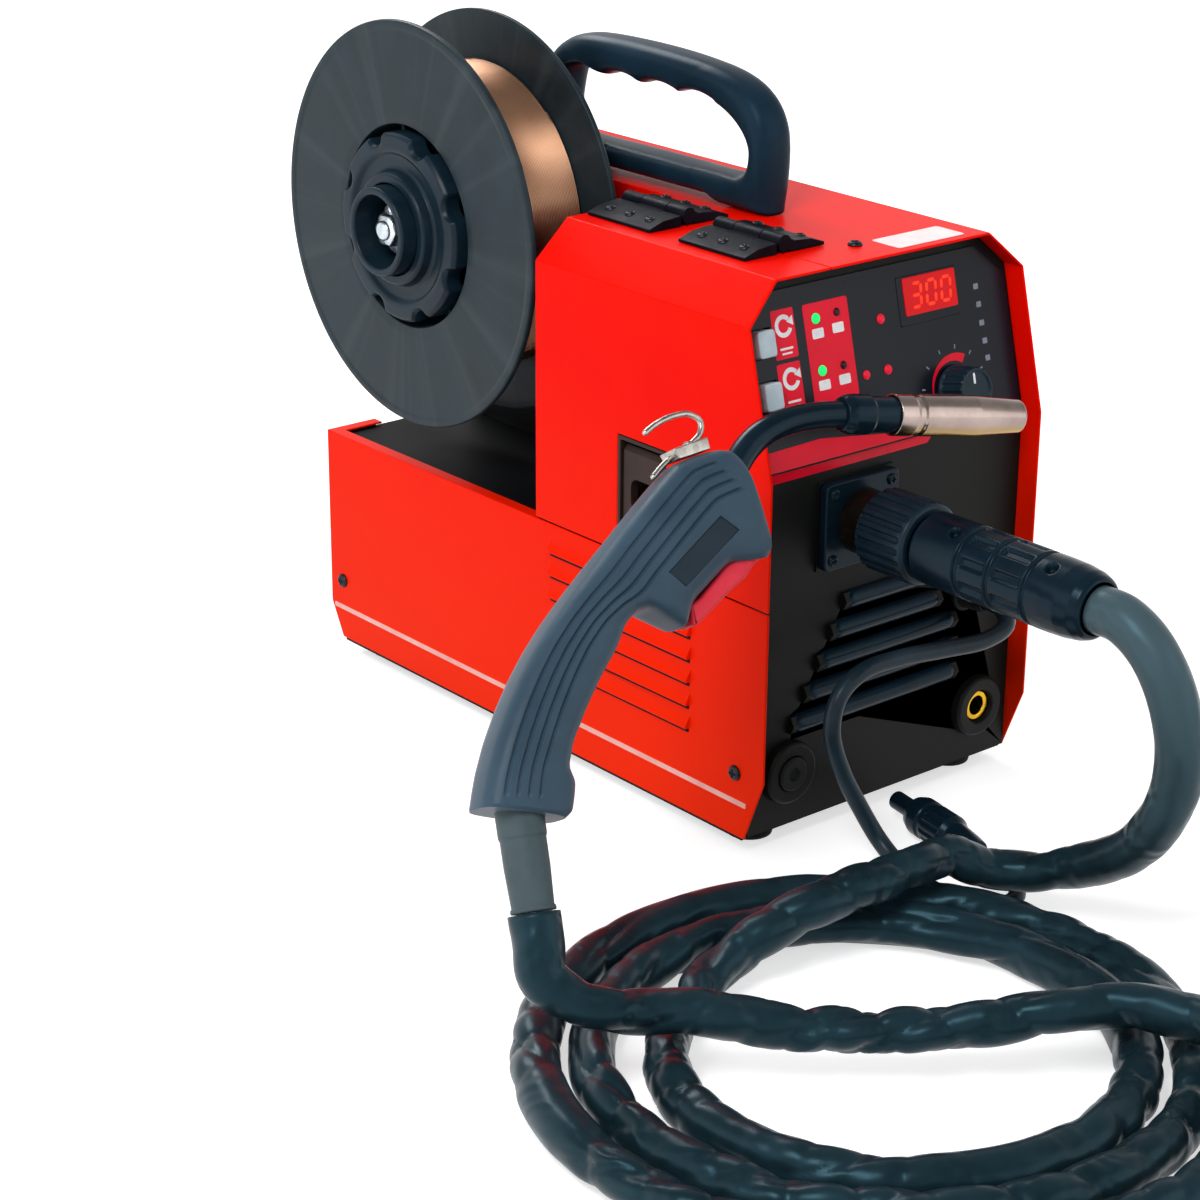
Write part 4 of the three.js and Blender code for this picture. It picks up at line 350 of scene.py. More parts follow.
# two tones, patch and grain size, lift of the grain (mm), gloss range, slot, and further shader values
looks = {
    # powder coat: a thick glossy skin with a faint orange peel about 2 mm across
    "powderCoatRed": (
        ("#ee0800", "#f61200"), 140, 2.2, 0.012, (0.3, 0.38), "red_paint", sheen(0.06, "#ff9a70")),
    # the same coat in black on the inner sheets: satin, a little dusty
    "powderCoatBlack": (("#08090c", "#0f1115"), 90, 1.8, 0.015, (0.5, 0.6), "black_paint", sheen(0.06)),
    # moulded ABS: the mould's fine spark texture keeps it a soft black
    "mouldedAbsBlack": (("#0d0f0d", "#151815"), 70, 0.9, 0.03, (0.4, 0.5), "black_plastic", sheen(0.1)),
    # screen-printed polycarbonate: smooth and glossy, nearly black with a blue cast
    "printedOverlayFilm": (("#0d1019", "#12151f"), 120, 3.0, 0.004, (0.24, 0.3), "black_plastic"),
    # glass-filled nylon: slate shells with a fine matt grain and a broad sheen
    "mouldedNylonSlate": (
        ("#0f202d", "#172c3b"), 50, 1.0, 0.03, (0.3, 0.4), "black_plastic", sheen(0.12, "#9fc4dc")),
    "mouldedNylonGrip": (
        ("#2a3e4d", "#354b5b"), 45, 0.8, 0.03, (0.36, 0.46), "torch_plastic",
        {"Sheen Weight": 0.15, "Sheen Roughness": 0.4}),
    "mouldedNylonInset": (("#15232d", "#1b2b36"), 30, 0.8, 0.02, (0.4, 0.5), "torch_plastic"),
    # the cable's bend support: softer, greyer nylon with a dry bloom
    "mouldedBendSupport": (("#3c4a4e", "#48575b"), 22, 0.8, 0.03, (0.42, 0.52), "torch_plastic"),
    # moulded ABS hinges, blue-black with dust in the corners
    "mouldedHingeBlack": (
        ("#08090f", "#12141d"), 12, 0.7, 0.03, (0.34, 0.5), "black_plastic", sheen(0.07, "#b4bcd8")),
    # polished mould: plugs and ribs with small sharp highlights
    "mouldedPlugBlack": (
        ("#081620", "#0e202c"), 30, 0.9, 0.02, (0.2, 0.28), "black_plastic", sheen(0.2, "#a8c8d8")),
    "mouldedNutBlack": (("#0e1c26", "#152935"), 26, 0.9, 0.03, (0.3, 0.42), "black_plastic"),
    # the latch's recess, brown-black under dust
    "mouldedLatchBrownBlack": (("#231714", "#34241f"), 20, 0.8, 0.03, (0.4, 0.52), "black_plastic"),
    # soft rubber: matt, slightly bloomed
    "softRubber": (("#0b0c0d", "#16181a"), 14, 0.7, 0.03, (0.6, 0.75), "rubber"),
    # PVC jacket: smooth extruded skin with a narrow highlight
    "extrudedPvcJacket": (("#142129", "#1e2f39"), 25, 1.5, 0.01, (0.28, 0.36), "rubber"),
    # satin button caps
    "mouldedWhiteCap": (("#a9b9c2", "#bccbd3"), 9, 0.6, 0.01, (0.35, 0.42), "white_plastic"),
    # screen inks and film: thin, even and a little chalky
    "screenInkWhite": (("#d9dade", "#f2f2f4"), 6, 0.5, 0.006, (0.45, 0.55), "white_plastic"),
    "screenInkGrey": (("#6d7484", "#868d9b"), 5, 0.5, 0.006, (0.45, 0.55), "white_plastic"),
    "screenInkRed": (("#dc0828", "#e81030"), 25, 0.6, 0.005, (0.3, 0.38), "red_plastic"),
    "stripeInkPale": (("#e3a79d", "#efc0b8"), 12, 0.7, 0.006, (0.4, 0.5), "white_plastic"),
    "labelVinylWhite": (("#f3dcdd", "#fdf0f0"), 8, 0.9, 0.01, (0.3, 0.4), "white_plastic"),
    # dyed ABS: the trigger slightly pink with wear, the rocker deep and glossy
    "mouldedTriggerRed": (("#c81f33", "#dc3546"), 18, 0.7, 0.015, (0.3, 0.4), "red_plastic"),
    "mouldedSwitchRed": (("#a30d12", "#c01317"), 9, 0.7, 0.01, (0.26, 0.34), "red_plastic"),
    # glass-epoxy board under solder mask, and varnished winding tape
    "solderMaskGreen": (("#0c3a20", "#12512d"), 16, 1.4, 0.05, (0.3, 0.42), "board_green"),
    "transformerTape": (("#8a5a14", "#b07a22"), 7, 1.2, 0.05, (0.36, 0.5), "copper_wire"),
    # plated, polished and blackened steel: small bright faces on the first two, a dull edge on the third
    "zincPlatedSteel": (("#a9b3bb", "#d3dae0"), 5, 0.4, 0.012, (0.22, 0.36), "steel", metal),
    "polishedHookSteel": (("#8d8a85", "#bdb8b0"), 4, 0.5, 0.006, (0.24, 0.38), "steel", metal),
    "blackOxideScrew": (("#14161b", "#22252c"), 4, 0.4, 0.01, (0.3, 0.42), "steel", {"Metallic": 0.6}),
    # brass fresh from the lathe, and chemically blackened on the torch socket
    "turnedBrass": (("#c8951a", "#e2b52c"), 6, 0.35, 0.01, (0.18, 0.3), "brass", metal),
    "blackenedBrass": (("#1a1713", "#2a241b"), 6, 0.4, 0.01, (0.32, 0.44), "brass", {"Metallic": 0.7}),
    # die-cast aluminium: grey and slightly rough
    "castAluminium": (("#8d9195", "#a7abae"), 14, 0.6, 0.03, (0.36, 0.5), "aluminium", metal),
    # nickel over brass: warm grey and smooth
    "nickelPlatedBrass": (("#8c7c76", "#a89891"), 24, 1.5, 0.002, (0.16, 0.24), "brass", metal),
    # drawn, copper-coated welding wire: bright along the draw, brown where the coat has tarnished
    "drawnCopperWire": (("#b28468", "#c89e80"), 70, 0.5, 0.003, (0.24, 0.34), "copper_wire", metal),
    # regrind polystyrene: grey-black
    "mouldedSpoolGrey": (("#1a2429", "#26333a"), 30, 1.1, 0.03, (0.34, 0.5), "spool_plastic"),
    # calendered vinyl: glossy black-blue film
    "calenderedVinylSleeve": (
        ("#101f25", "#1b2f38"), 35, 2.5, 0.02, (0.26, 0.38), "sleeve", sheen(0.38, "#7fb4c8")),
    # lit parts: tinted acrylic, the segments behind it and the lamps
    "tintedAcrylicRed": (
        ("#9c0208", "#b00409"), 18, 1.5, 0.002, (0.2, 0.26), "display_red", lit("#d00208", 0.5)),
    "segmentLight": (("#f8301c", "#ff4228"), 6, 0.8, 0.002, (0.3, 0.4), "display_red", lit("#ff3a22", 0.7)),
    "lampGreen": (("#12d862", "#20f078"), 3, 0.5, 0.002, (0.2, 0.3), "white_plastic", lit("#16ea6a", 0.7)),
    "lampDark": (("#2a0a10", "#3a1218"), 3, 0.5, 0.002, (0.2, 0.3), "display_red"),
    "lampRed": (("#c8102a", "#e02038"), 3, 0.5, 0.002, (0.25, 0.35), "red_plastic", lit("#d01830", 0.3)),
}
finishes = {name: makeFinish(name, *row) for name, row in looks.items()}

# painted light: the red leans to orange towards the floor, a colour cast of the lighting painted into the coat
red = finishes["powderCoatRed"]
height = addNode(red["tree"], "SeparateXYZ", links={"Vector": (red["place"], "Object")})
paintedLowLight = addNode(
    red["tree"], "MapRange", {"From Min": 0.0, "From Max": 0.2, "To Min": 0.75, "To Max": 0.0},
    {"Value": (height, "Z")},
)
mixOver(red, (paintedLowLight, "Result"), "#ee3001")

# painted reflection: the nickel's downward faces are tinted straw yellow, a warm reflection from below painted into
# its colour
nickel = finishes["nickelPlatedBrass"]
surface = addNode(nickel["tree"], "NewGeometry")
surfaceWay = addNode(nickel["tree"], "SeparateXYZ", links={"Vector": (surface, "Normal")})
paintedReflectionBelow = addNode(
    nickel["tree"], "MapRange", {"From Min": -0.2, "From Max": -0.75}, {"Value": (surfaceWay, "Z")}
)
mixOver(nickel, (paintedReflectionBelow, "Result"), "#a8863a")

# flow streaks in the spool run out from the gate
grey = finishes["mouldedSpoolGrey"]
spoolMiddle = [-(a + b) / 2 for a, b in zip(*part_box("wire_spool"))]
centred = addNode(grey["tree"], "Mapping", {"Location": spoolMiddle}, {"Vector": (grey["place"], "Object")})
axes = addNode(grey["tree"], "SeparateXYZ", links={"Vector": (centred, "Vector")})
bearing = addNode(grey["tree"], "Math", {"operation": "ARCTAN2"}, {0: (axes, "Y"), 1: (axes, "Z")})
radial = addNode(grey["tree"], "CombineXYZ", {"Y": 0.0, "Z": 0.0}, {"X": (bearing, "Value")})
streaks = addNode(
    grey["tree"], "TexNoise", {"Scale": 4.5, "Detail": 5.0, "Roughness": 0.55}, {"Vector": (radial, "Vector")}
)
streakLight = addNode(
    grey["tree"], "MapRange", {"From Min": 0.5, "From Max": 0.8, "To Max": 0.42}, {"Value": (streaks, "Fac")}
)
mixOver(grey, (streakLight, "Result"), "#4a5558")

# fine creases run across the vinyl
vinyl = finishes["calenderedVinylSleeve"]
creases = addNode(
    vinyl["tree"], "TexNoise",
    {"noise_type": "RIDGED_MULTIFRACTAL", "Scale": 30.0, "Detail": 1.0, "Roughness": 0.45, "Distortion": 1.6},
    {"Vector": (vinyl["place"], "Object")},
)
creased = addNode(
    vinyl["tree"], "Bump", {"Strength": 0.8, "Distance": 0.0028},
    {"Height": (creases, "Fac"), "Normal": (vinyl["bump"], "Normal")},
)
vinyl["tree"].links.new(creased.outputs["Normal"], vinyl["shader"].inputs["Normal"])
# painted sheen: near the plug the vinyl is painted paler, a sheen painted into its colour
fromPlug = addNode(
    vinyl["tree"], "VectorMath", {"operation": "DISTANCE", 1: toFrame((-24, -150, 140)).tolist()},
    {0: (vinyl["place"], "Object")},
)
paintedSheenNearPlug = addNode(
    vinyl["tree"], "MapRange", {"From Min": 0.02, "From Max": 0.1, "To Min": 0.85, "To Max": 0.0},
    {"Value": (fromPlug, "Value")},
)
mixOver(vinyl, (paintedSheenNearPlug, "Result"), "#46585f")
print("finishes made")

view = {"place": (-899.3, -868.0, 591.2), "yaw": -0.692, "pitch": -0.372, "roll": 0.006, "focal": 87.97}
optics = bpy.data.cameras.new("camera")
optics.lens, optics.sensor_width = view["focal"], 36
camera = bpy.data.objects.new("camera", optics)
camera.matrix_world = (
    Matrix.Translation(toFrame(view["place"]).tolist()) @ Matrix.Rotation(view["yaw"], 4, "Z")
    @ Matrix.Rotation(math.pi / 2 + view["pitch"], 4, "X") @ Matrix.Rotation(view["roll"], 4, "Z")
)
bpy.context.scene.collection.objects.link(camera)
bpy.context.scene.camera = camera
bpy.context.scene.view_settings.view_transform = "Standard"

lamps = {
    "key": {"place": (-1050, -420, 1250), "aim": (-20, 120, 120), "size": 0.55, "power": 14},
    "fill": {"place": (500, -1300, 700), "aim": (0, 50, 120), "size": 1.2, "power": 5},
    "rear": {"place": (200, 1100, 1100), "aim": (0, 180, 200), "size": 0.6, "power": 9},
    "side": {"place": (-1400, 500, 500), "aim": (-60, 150, 150), "size": 1.2, "power": 5},
}
for name, lamp in lamps.items():
    light = bpy.data.lights.new(name, "AREA")
    light.size, light.energy = lamp["size"], lamp["power"]
    holder = bpy.data.objects.new(name, light)
    stand = toFrame(lamp["place"])
    back = unit(stand - toFrame(lamp["aim"]))
    right = unit(np.cross((0, 0, 1), back))
    pose = np.eye(4)
    pose[:3] = np.stack([right, np.cross(back, right), back, stand], 1)
    holder.matrix_world = Matrix(pose.tolist())
    bpy.context.scene.collection.objects.link(holder)

backdrop = {"glow": 0.42, "zenith": 0.3, "floorTone": "#d9dadb", "floorLift": 0.62, "farLift": 1.0, "reach": 9.0}


def seenDirectly(tree):
    # 1 on rays from the camera, off gloss and through glass, 0 on the rays that carry diffuse light
    ray = addNode(tree, "LightPath")
    both = addNode(tree, "Math", {"operation": "MAXIMUM"}, {0: (ray, "Is Camera Ray"), 1: (ray, "Is Glossy Ray")})
    return addNode(tree, "Math", {"operation": "MAXIMUM"}, {0: (both, 0), 1: (ray, "Is Transmission Ray")})


world = bpy.data.worlds.new("studio")
bpy.context.scene.world = world
world.use_nodes = True
tree = world.node_tree
tree.nodes.clear()
# the sweep is white round the horizon and the studio ceiling above it is dim
compass = addNode(tree, "TexCoord")
aloft = addNode(tree, "SeparateXYZ", links={"Vector": (compass, "Generated")})
overhead = addNode(
    tree, "MapRange", {"From Min": 0.25, "From Max": 0.75, "To Min": 1.0, "To Max": backdrop["zenith"]},
    {"Value": (aloft, "Z")},
)
level = addNode(
    tree, "MapRange", {"To Min": backdrop["glow"]}, {"Value": (seenDirectly(tree), 0), "To Max": (overhead, 0)}
)
sky = addNode(tree, "Background", {"Color": (1, 1, 1, 1)}, {"Strength": (level, "Result")})
addNode(tree, "OutputWorld", links={"Surface": (sky, 0)})

# matt paper that is lifted to white, more so further off, and keeps the shadow near the machine
floorPaper = bpy.data.materials.new("matteFloorPaper")
floorPaper.use_nodes = True
tree = floorPaper.node_tree
tree.nodes.clear()
ground = addNode(tree, "TexCoord")
farOff = addNode(tree, "VectorMath", {"operation": "LENGTH"}, {0: (ground, "Object")})
lifted = {"From Min": 0.35, "From Max": 1.6, "To Min": backdrop["floorLift"], "To Max": backdrop["farLift"]}
faded = addNode(tree, "MapRange", lifted, {"Value": (farOff, "Value")})
lift = addNode(tree, "MapRange", {"To Min": 0.0}, {"Value": (seenDirectly(tree), 0), "To Max": (faded, 0)})
glow = addNode(tree, "Emission", {"Color": (1, 1, 1, 1)}, {"Strength": (lift, "Result")})
paper = addNode(tree, "BsdfDiffuse", {"Color": linear(backdrop["floorTone"])})
both = addNode(tree, "AddShader", links={0: (glow, 0), 1: (paper, 0)})
addNode(tree, "OutputMaterial", links={"Surface": (both, 0)})
floorMesh = bpy.data.meshes.new("floor")
corners = [(-1, -1), (1, -1), (1, 1), (-1, 1)]
corners = [(x * backdrop["reach"], y * backdrop["reach"], -0.0003) for x, y in corners]
floorMesh.from_pydata(corners, [], [(0, 1, 2, 3)])
floorMesh.materials.append(floorPaper)
floor = bpy.data.objects.new("floor", floorMesh)
bpy.context.scene.collection.objects.link(floor)
print("camera, floor and lamps set")

torch = {"place": (-99.6, -16.2, 212.3), "turn": 6, "lean": 30, "thick": 27}
turnBy, leanBy = math.radians(torch["turn"]), math.radians(torch["lean"])
torchU = np.array([math.cos(turnBy), -math.sin(turnBy), 0])
torchV = np.array([math.sin(turnBy) * math.sin(leanBy), math.cos(turnBy) * math.sin(leanBy), math.cos(leanBy)])
torchW = np.cross(torchU, torchV)


def onTorch(points):
    # u to the right, v up and w towards the viewer in the torch's own plane
    p = np.asarray(points, float)
    if p.shape[-1] == 2:
        p = np.concatenate([p, np.zeros(p.shape[:-1] + (1,))], -1)
    return np.array(torch["place"]) + p[..., :1] * torchU + p[..., 1:2] * torchV + p[..., 2:3] * torchW


lead = {
    "radius": 10.5, "exit": (-24, -134.3, 150), "support": ((-165.6, -127.7), (-170.8, -163.5)),
    "centre": (-172, -163), "from": 120, "to": 982, "outer": 142, "pitch": 22.1, "inset": 8,
    "fold": 2.6, "seed": 11, "sides": 44,
}


def coilPoints():
    # radius(t) = outer - pitch (turns - t) - inset (1 - ease(t / 0.3)), with a straight run at each end
    turns = (lead["to"] - lead["from"]) / 360

    def at(t):
        share = np.clip(np.asarray(t, float) / 0.3, 0, 1)
        pull = lead["inset"] * (1 - share * share * (3 - 2 * share))
        radius = lead["outer"] - lead["pitch"] * (turns - t) - pull
        angle = np.radians(lead["from"] + 360 * t)
        x, y = lead["centre"]
        level = np.full_like(angle, lead["radius"])
        return np.stack([x + radius * np.cos(angle), y + radius * np.sin(angle), level], -1)

    steps = round(turns * 24)
    ways = [unit(at(np.array([c + 0.002])) - at(np.array([c - 0.002])))[0] for c in (0.002, turns - 0.002)]
    middle = at(turns * np.arange(steps + 1) / steps)
    run = 2 * lead["radius"]
    before = [middle[0] - ways[0] * run * k for k in (1, 0.5)]
    after = [middle[-1] + ways[1] * run * k for k in (0.5, 1)]
    return np.vstack([before, middle, after]), ways


coil, (wayIn, wayOut) = coilPoints()
supportTop, supportEnd = (onTorch(p) for p in lead["support"])
supportWay = unit(supportEnd - supportTop)
frontRoute = [
    lead["exit"], (-24, -147, 149.5), (-23, -160, 142), (-22, -171, 128), (-21, -178, 108), (-20, -178, 86),
    (-20, -171, 66), (-20, -157, 48), (-20, -138, 34), (-23, -120, 25), (-32, -105, 21.5), (-46, -94, 25),
    (-61, -89, 31.8), (-79, -89, 32.6), (-99, -89, 32.6), (-124, -86, 30.5), (-148, -80, 24),
    (-171, -76.5, 14.5), coil[0] - wayIn * 8.3,
]
tailRoute = [
    coil[-1] + wayOut * 10.3, (-146, -307, 11.5), (-119, -299, 15.5), (-99, -282, 25), (-89, -262, 32.8),
    (-94, -240, 33), (-108, -222, 32.5), (-128, -207, 29.5), (-155, -186, 24), (-183, -164, 22.5),
    (-208, -144, 25), (-229, -129, 31), (-247, -118, 34), (-265, -109, 36.5), (-277, -100, 42),
    supportEnd + supportWay * 24.3, supportEnd + supportWay * 12.3, supportEnd + supportWay * 0.3,
]
leadLine, leadAt = evenly(throughPoints(np.vstack([frontRoute, coil, tailRoute])), 1.7)


def drift(at, pitch, seed):
    # random levels 0 to 1 every pitch along a line, joined by cosine steps
    levels = np.random.default_rng(seed).random((int(at[-1] / pitch) + 3, 1))
    place = at / pitch
    low = place.astype(int)
    share = (1 - np.cos(np.pi * (place - low))) / 2
    return levels[low] * (1 - share[:, None]) + levels[low + 1] * share[:, None]


def sleeveRadii(at, sides):
    # r = R - sum of folds: each is a sharp ridge |sin(pi s / length + lean t / 2)|^(1 / power), let through
    # where a slow random level is high, and the sleeve is flatter or rounder by a slow second harmonic
    t = np.linspace(0, 2 * np.pi, sides, endpoint=False)[None]
    s, seed = at[:, None], lead["seed"]
    folds = np.zeros((len(at), sides))
    waves = [(46, 2, 1.4, 1.0), (29, -1, 1.7, 0.9), (67, 3, 1.3, 1.0), (18, 1, 2.2, 0.5)]
    for i, (length, lean, power, depth) in enumerate(waves):
        wander = 5 * drift(at, 90, seed + i)
        ridge = np.abs(np.sin(np.pi * s / length + lean * t / 2 + wander)) ** (1 / power)
        gate = np.clip(drift(at, 46, seed + 10 + i) * 2.2 - 0.6, 0, 1)
        around = 0.5 + 0.5 * np.cos(t - 2 * np.pi * drift(at, 120, seed + 20 + i))
        folds += depth * gate * (0.35 + 0.65 * around) * (1 - ridge)
    calm = np.clip((at - 60) / 120, 0.06, 1) * np.clip((at[-1] - at) / 40, 0.1, 1)
    flat = 0.35 * (1 - np.cos(2 * t - 2 * np.pi * drift(at, 200, seed + 31)))
    return lead["radius"] - calm[:, None] * (lead["fold"] * np.minimum(folds, 1.25) + flat)


sleeveGrid = carried(leadLine, sleeveRadii(leadAt, lead["sides"]), lead["sides"])
sleeveGrid[..., 2] = np.maximum(sleeveGrid[..., 2], 0.15)
torchLead = addPiece(
    "torch_lead", shell(sleeveGrid), "calenderedVinylSleeve", even=False,
    replaces=("torch_lead_front", "torch_lead_coil", "torch_lead_tail"),
)

bend = {"top": -5, "collar": 9.6, "body": 9.1, "end": 8.4}
span = float(np.linalg.norm(supportEnd - supportTop))
cableSupport = addPiece("cable_support_tube", lathe([
    (0.01, bend["top"]), (bend["collar"] - 0.4, bend["top"]), (bend["collar"], bend["top"] + 1),
    (bend["collar"], 6.5), (bend["body"], 7.5), (bend["body"], span * 0.5), (bend["end"], span - 2.4),
    (bend["end"] + 0.6, span - 2), (bend["end"] + 0.6, span - 0.3), (0.01, span - 0.3),
], 0.5, supportTop, supportWay, 56), "mouldedBendSupport", replaces="cable_support")

polarity = {"radius": 4, "exit": (50, -5.3, 96), "tail": (-14, -66, 9.6), "nose": (-3, -3, 9.6)}
plugTail, plugNose = np.array(polarity["tail"]), np.array(polarity["nose"])
plugWay, plugLength = unit(plugNose - plugTail), float(np.linalg.norm(plugNose - plugTail))
polarityRoute = [
    polarity["exit"], (50, -14, 95), (45, -22, 91), (30, -24, 88), (5, -22, 89), (-22, -20, 91),
    (-44, -19, 90), (-58, -19, 82), (-63, -20, 67), (-58, -22, 47), (-49, -26, 27), (-44, -33, 13),
    (-44, -46, 5.6), (-47, -64, 4.4), (-48, -82, 4.3), (-42, -96, 4.3), (-30, -102, 4.6), (-20, -95, 6.4),
    (-15.8, -80, 9), plugTail - plugWay * 6.3, plugTail - plugWay * 0.3,
]
polarityLine, _ = evenly(throughPoints(polarityRoute), 2.2)
polarityLead = addPiece(
    "polarity_cable", shell(carried(polarityLine, polarity["radius"], 20)), "extrudedPvcJacket", even=False,
    replaces="polarity_lead",
)
polarityPlug = addPiece("polarity_plug_shell", lathe([
    (0.01, 0), (5.4, 0), (6.2, 5), (7.4, 17), (9.2, 20), (9.4, 21), (9.4, 33), (8.6, 34), (8.6, 36), (9.4, 37),
    (9.4, plugLength - 21), (8, plugLength - 17), (4.4, plugLength - 16.8), (4.4, plugLength - 0.6),
    (0.01, plugLength),
], 0.6, plugTail, plugWay, 112, cut=(0.9, lambda r, h: (h > 20.5) & (h < 33.5) & (r > 9), teeth(14, 2.5))),
    "mouldedPlugBlack", replaces="polarity_plug", slot="rubber")

print("leads laid")

# folded and moulded solids that keep their shape: finish and edge rounding
dressed = {
    "base_pan": ("powderCoatBlack", 0.3), "left_side_panel": ("powderCoatRed", 0.5),
    "main_cover": ("powderCoatRed", 0.5), "feeder_door": ("powderCoatRed", 0.5),
    "spool_tray": ("powderCoatBlack", 0.5), "centre_wall": ("powderCoatBlack", 0.4),
    "front_panel": ("mouldedAbsBlack", 0.5), "rear_panel": ("mouldedAbsBlack", 0.5),
    "hinge_front_fixed": ("mouldedHingeBlack", 0.5), "hinge_front_moving": ("mouldedHingeBlack", 0.5),
    "hinge_rear_fixed": ("mouldedHingeBlack", 0.5), "hinge_rear_moving": ("mouldedHingeBlack", 0.5),
    "latch_bezel": ("mouldedLatchBrownBlack", 0.5), "latch_paddle": ("mouldedLatchBrownBlack", 0.7),
    "control_plate": ("printedOverlayFilm", 0.2), "torch_socket": ("blackenedBrass", 0.3),
    "switch_frame": ("mouldedAbsBlack", 0.5), "power_switch": ("mouldedSwitchRed", 0.5),
    "fan_rotor": ("mouldedAbsBlack", 0.4), "feed_drive": ("castAluminium", 0.6),
    "pressure_arm": ("mouldedPlugBlack", 0.8),
}
for node, (look, edge) in dressed.items():
    solid = frame["nodes"][node]
    skin = cleaned(solid.data.copy(), flatten=True)
    setPiece(node + "_skin", skin, look, solid["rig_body"], replaces=node, bevel=edge)
print("solids dressed")


def screwHead(base, way, radius, rise=1.8):
    # a domed head whose recess is a cross: its inner rows shrink by a fourfold wave
    profile = np.array([
        (0.01, rise * 0.25), (0.30, rise * 0.25), (0.42, rise * 0.9), (0.62, rise), (0.86, rise * 0.72),
        (0.98, rise * 0.3), (1.0, 0), (0.01, 0),
    ]) * (radius, 1)
    swell = np.zeros(len(profile))
    swell[1:3] = radius * np.array([0.18, 0.16])

    def cross(t):
        return np.sign(np.cos(4 * t)) * np.abs(np.cos(4 * t)) ** 0.6
    return shell(turned(profile, base, way, 48, swell, cross))


def addScrews(name, screws, body="chassis"):
    addPiece(name, [screwHead(*screw) for screw in screws], "blackOxideScrew", body)


stripe = {"y": (11, 334), "z": (23.6, 26.2), "lift": 0.18}
leftSide = facing("x", -case["half"], -1)
addPiece(
    "side_stripe", plate(boxBetween(*stripe["y"], *stripe["z"], 0.6), 0, stripe["lift"], 0.05, leftSide),
    "stripeInkPale",
)
# painted shadow: a dark strip on the sheet just below each pressed louvre's lip, where its shade falls
louvre = {"count": 6, "start": 50, "length": 102, "base": 50, "top": 121}
pitch = (louvre["top"] - louvre["base"] - case["louvreRise"]) / louvre["count"]
louvreShadows = [
    plate(
        roundedBox(louvre["length"] - 1, 1.9, 0.5, (louvre["start"] + louvre["length"] / 2,
                                                    louvre["base"] + i * pitch - 1.2)),
        0, 0.25, 0, facing("x", sign * case["half"], sign),
    ) for sign in (-1, 1) for i in range(louvre["count"])
]
addPiece("louvre_painted_shadows", louvreShadows, "powderCoatBlack")
addScrews("case_screws", [
    ((side * case["half"], y, z), (side, 0, 0), 3.7) for side in (-1, 1) for y, z in ((326, 40), (18.6, 39))
] + [((1.7, y, case["height"]), (0, 0, 1), 3.4) for y in (42.5, 300)])
addPiece(
    "roof_label", plate(roundedBox(42, 18, 1.6, (34, 35)), 0, 0.2, 0.06, facing("z", case["height"])),
    "labelVinylWhite",
)

for node in ("foot_front_left", "foot_front_right", "foot_rear_left", "foot_rear_right"):
    low, high = ((np.array(c[:]) - origin) * 1000 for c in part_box(node))
    rise = high[2] - low[2]
    foot = ((low[0] + high[0]) / 2, (low[1] + high[1]) / 2, 0)
    addPiece(node + "_pad", lathe([
        (0.01, 0.05), (4, 0.05), (4.4, 1.0), (9.4, 1.0), (9.8, 0.05), (10.6, 0.05), (11, 1.4), (9.4, rise),
        (0.01, rise),
    ], 0.3, foot, (0, 0, 1)), "softRubber", replaces=node)

for name, y in (("front", 73), ("rear", 137)):
    for kind, body, x in (("", "chassis", -16.5), ("_door", "door", -49.5)):
        places = [((x, y + step, 267.0), (0, 0, 1), 2.9) for step in (-14, 0, 14)]
        addScrews(f"hinge_{name}{kind}_screws", places, body)
print("case trim placed")

handle = {"x": 11, "half": 11, "front": 104, "length": 164, "height": 67, "centre": (186, 298), "square": 2.7}


def bezier(*points):
    # a cubic from the first point to the last, pulled towards the two between
    t = np.linspace(0, 1, 15)[:, None]
    a, b, c, d = (np.array(p, float) for p in points)
    return (1 - t) ** 3 * a + 3 * t * (1 - t) ** 2 * b + 3 * t**2 * (1 - t) * c + t**3 * d


def handleOutlines():
    y0, y1 = handle["front"], handle["front"] + handle["length"]
    base, top = case["height"] + 0.3, case["height"] + handle["height"]
    outer = np.vstack([
        [(y0, base)], bezier((y0, top - 30), (y0 + 2, top - 12), (y0 + 18, top - 6), (y0 + 38, top - 3)),
        bezier((y0 + 38, top - 3), (y0 + 60, top), (y1 - 60, top + 1), (y1 - 34, top - 1)),
        bezier((y1 - 34, top - 1), (y1 - 12, top - 3), (y1 - 2, top - 14), (y1, top - 34)),
        [(y1, base), (y1 - 30, base), (y1 - 36, base + 3), (y0 + 36, base + 3), (y0 + 30, base)],
    ])
    front, back, under, sill = y0 + 12, y1 - 14, top - 19, base + 15
    start = back - 6
    pitch = (start - (front + 26)) / 4
    share = np.linspace(0, 1, 49)[1:]
    finger = under - 0.15 + 2.6 * np.abs(np.sin(np.pi * share * 4)) ** 0.8
    inner = np.vstack([
        bezier((front + 10, sill), (front + 20, sill), (back - 20, sill), (back - 10, sill)),
        bezier((back - 10, sill), (back - 2, sill + 2), (back, sill + 8), (back, sill + 16)),
        bezier((back, sill + 16), (back - 1, under - 14), (back - 3, under - 2), (start, under - 0.2)),
        np.stack([start - share * 4 * pitch, finger], 1),
        bezier(
            (start - 4 * pitch, under - 0.6), (front + 12, under - 4), (front + 1, under - 12), (front, sill + 14)
        ),
        bezier((front, sill + 14), (front, sill + 6), (front + 3, sill + 2), (front + 10, sill)),
    ])
    return outer, inner


